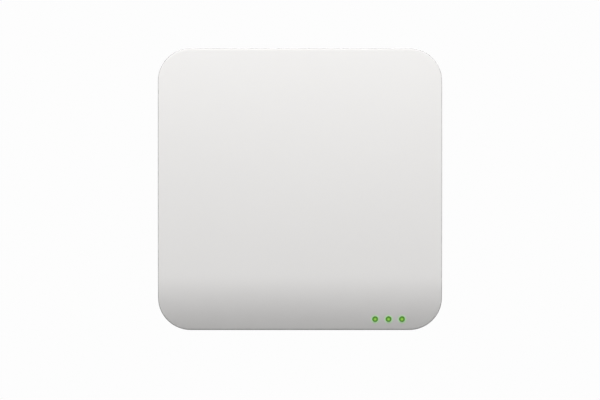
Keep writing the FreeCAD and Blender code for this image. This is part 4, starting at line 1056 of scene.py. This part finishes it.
# %% Case screws and their inserts
case_screw = spun("one_case_screw", in_metres([(0, 8.8), (2.35, 8.8), (2.65, 8.92), (2.8, 9.2), (2.8, 10.8),
                                               (2.7, 11.0), (1.4, 11.0)]
                                              + thread(1.4, 11.2, 20.6) + [(0.8, 21.0), (0, 21.0)]), 0, 0)
case_screw = cut_out(case_screw, recess_mesh("case_drive", 6, 1.12, 0.82, 8.3, 9.9))
at_corners("case_screws", case_screw, CASE_SCREW_HEAD)
case_insert = spun("one_case_insert", in_metres([(1.5, 13.5), (2.2, 13.5)]
                                                + thread(CASE_INSERT, 13.7, 19.3, KNURL_PITCH, KNURL_BITE)
                                                + [(2.2, 19.5), (1.5, 19.5), (1.5, 13.5)]), 0, 0)
at_corners("case_inserts", case_insert, CASE_INSERT)

# %% Board screws
board_screw = spun("one_board_screw", in_metres([(0, 25.3), (1.3, 25.28), (2.0, 25.1), (2.4, 24.6),
                                                 (2.5, 24.1), (2.5, 23.4), (1.3, 23.4)]
                                                + thread(1.3, 23.2, 15.8) + [(0.6, 15.4), (0, 15.4)]), 0, 0)
board_screw = cut_out(board_screw, recess_mesh("board_drive", 4, 1.35, 0.45, 24.4, 26.0))
at_corners("board_screws", board_screw, BOARD_SCREW_HEAD)

# %% [markdown]
# ## Parts on the board
# The three big capacitors are aluminium cans crimped onto a square base, so each is a spun
# profile on a small block. Everything else inside keeps its construction shape with slightly
# rounded edges, since moulded and stamped parts always have them.

# %% Bulk capacitors
board_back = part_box("bulk_capacitors")[0].y
CAN = 4.0
CAN_BASE = 4.2
CAN_BASE_RISE = 1.6
CAN_BASE_EDGE = 0.25
CAN_PLACES = ((24.0, 26.0), (24.0, 38.0), (34.0, 30.0))
cans = []
for x, z in CAN_PLACES:
    cans.append(spun("can", in_metres([(0, 11.85), (2.9, 11.85), (3.0, 11.8), (3.45, 11.8), (3.85, 11.95),
                                       (CAN, 12.3), (CAN, 18.0), (3.7, 18.3), (3.7, 18.5), (CAN, 18.8),
                                       (CAN, 20.2), (0, 20.2)]), mm(x), mm(z)))
    cans.append(box_mesh("can_base", (mm(x - CAN_BASE), board_back, mm(z - CAN_BASE)),
                         (mm(x + CAN_BASE), board_back + mm(CAN_BASE_RISE), mm(z + CAN_BASE)),
                         mm(CAN_BASE_EDGE)))
keep_piece("bulk_capacitors_cans", smoothed(joined_mesh("bulk_capacitors_cans", cans)), "bulk_capacitors")

# %% Small edges on the remaining pieces
EDGES = {"lock_screw": 0.12, "lock_bush": 0.12, "main_board": 0.0, "ethernet_jack_shell": 0.05,
         "ethernet_jack_insert": 0.1, "ethernet_jack_contacts": 0.05, "ethernet_magnetics": 0.25,
         "poe_transformer_core": 0.3, "poe_transformer_winding": 0.5, "power_inductors": 0.4,
         "processor": 0.12, "thermal_pad": 0.15, "heat_spreader": 0.15, "memory_chip": 0.12,
         "radio_chips": 0.1, "chip_capacitors": 0.08, "shield_frame": 0.0, "shield_lid": 0.1,
         "antenna_patches": 0.12, "antenna_posts": 0.2, "antenna_feed_pins": 0.1, "status_leds": 0.1,
         "light_mask": 0.1, "reset_switch": 0.15, "reset_plunger": 0.2}
for node, bevel in EDGES.items():
    keep_piece(node + "_edged", softened_copy(node, bevel), node)
print("pieces with small edges:", len(EDGES))
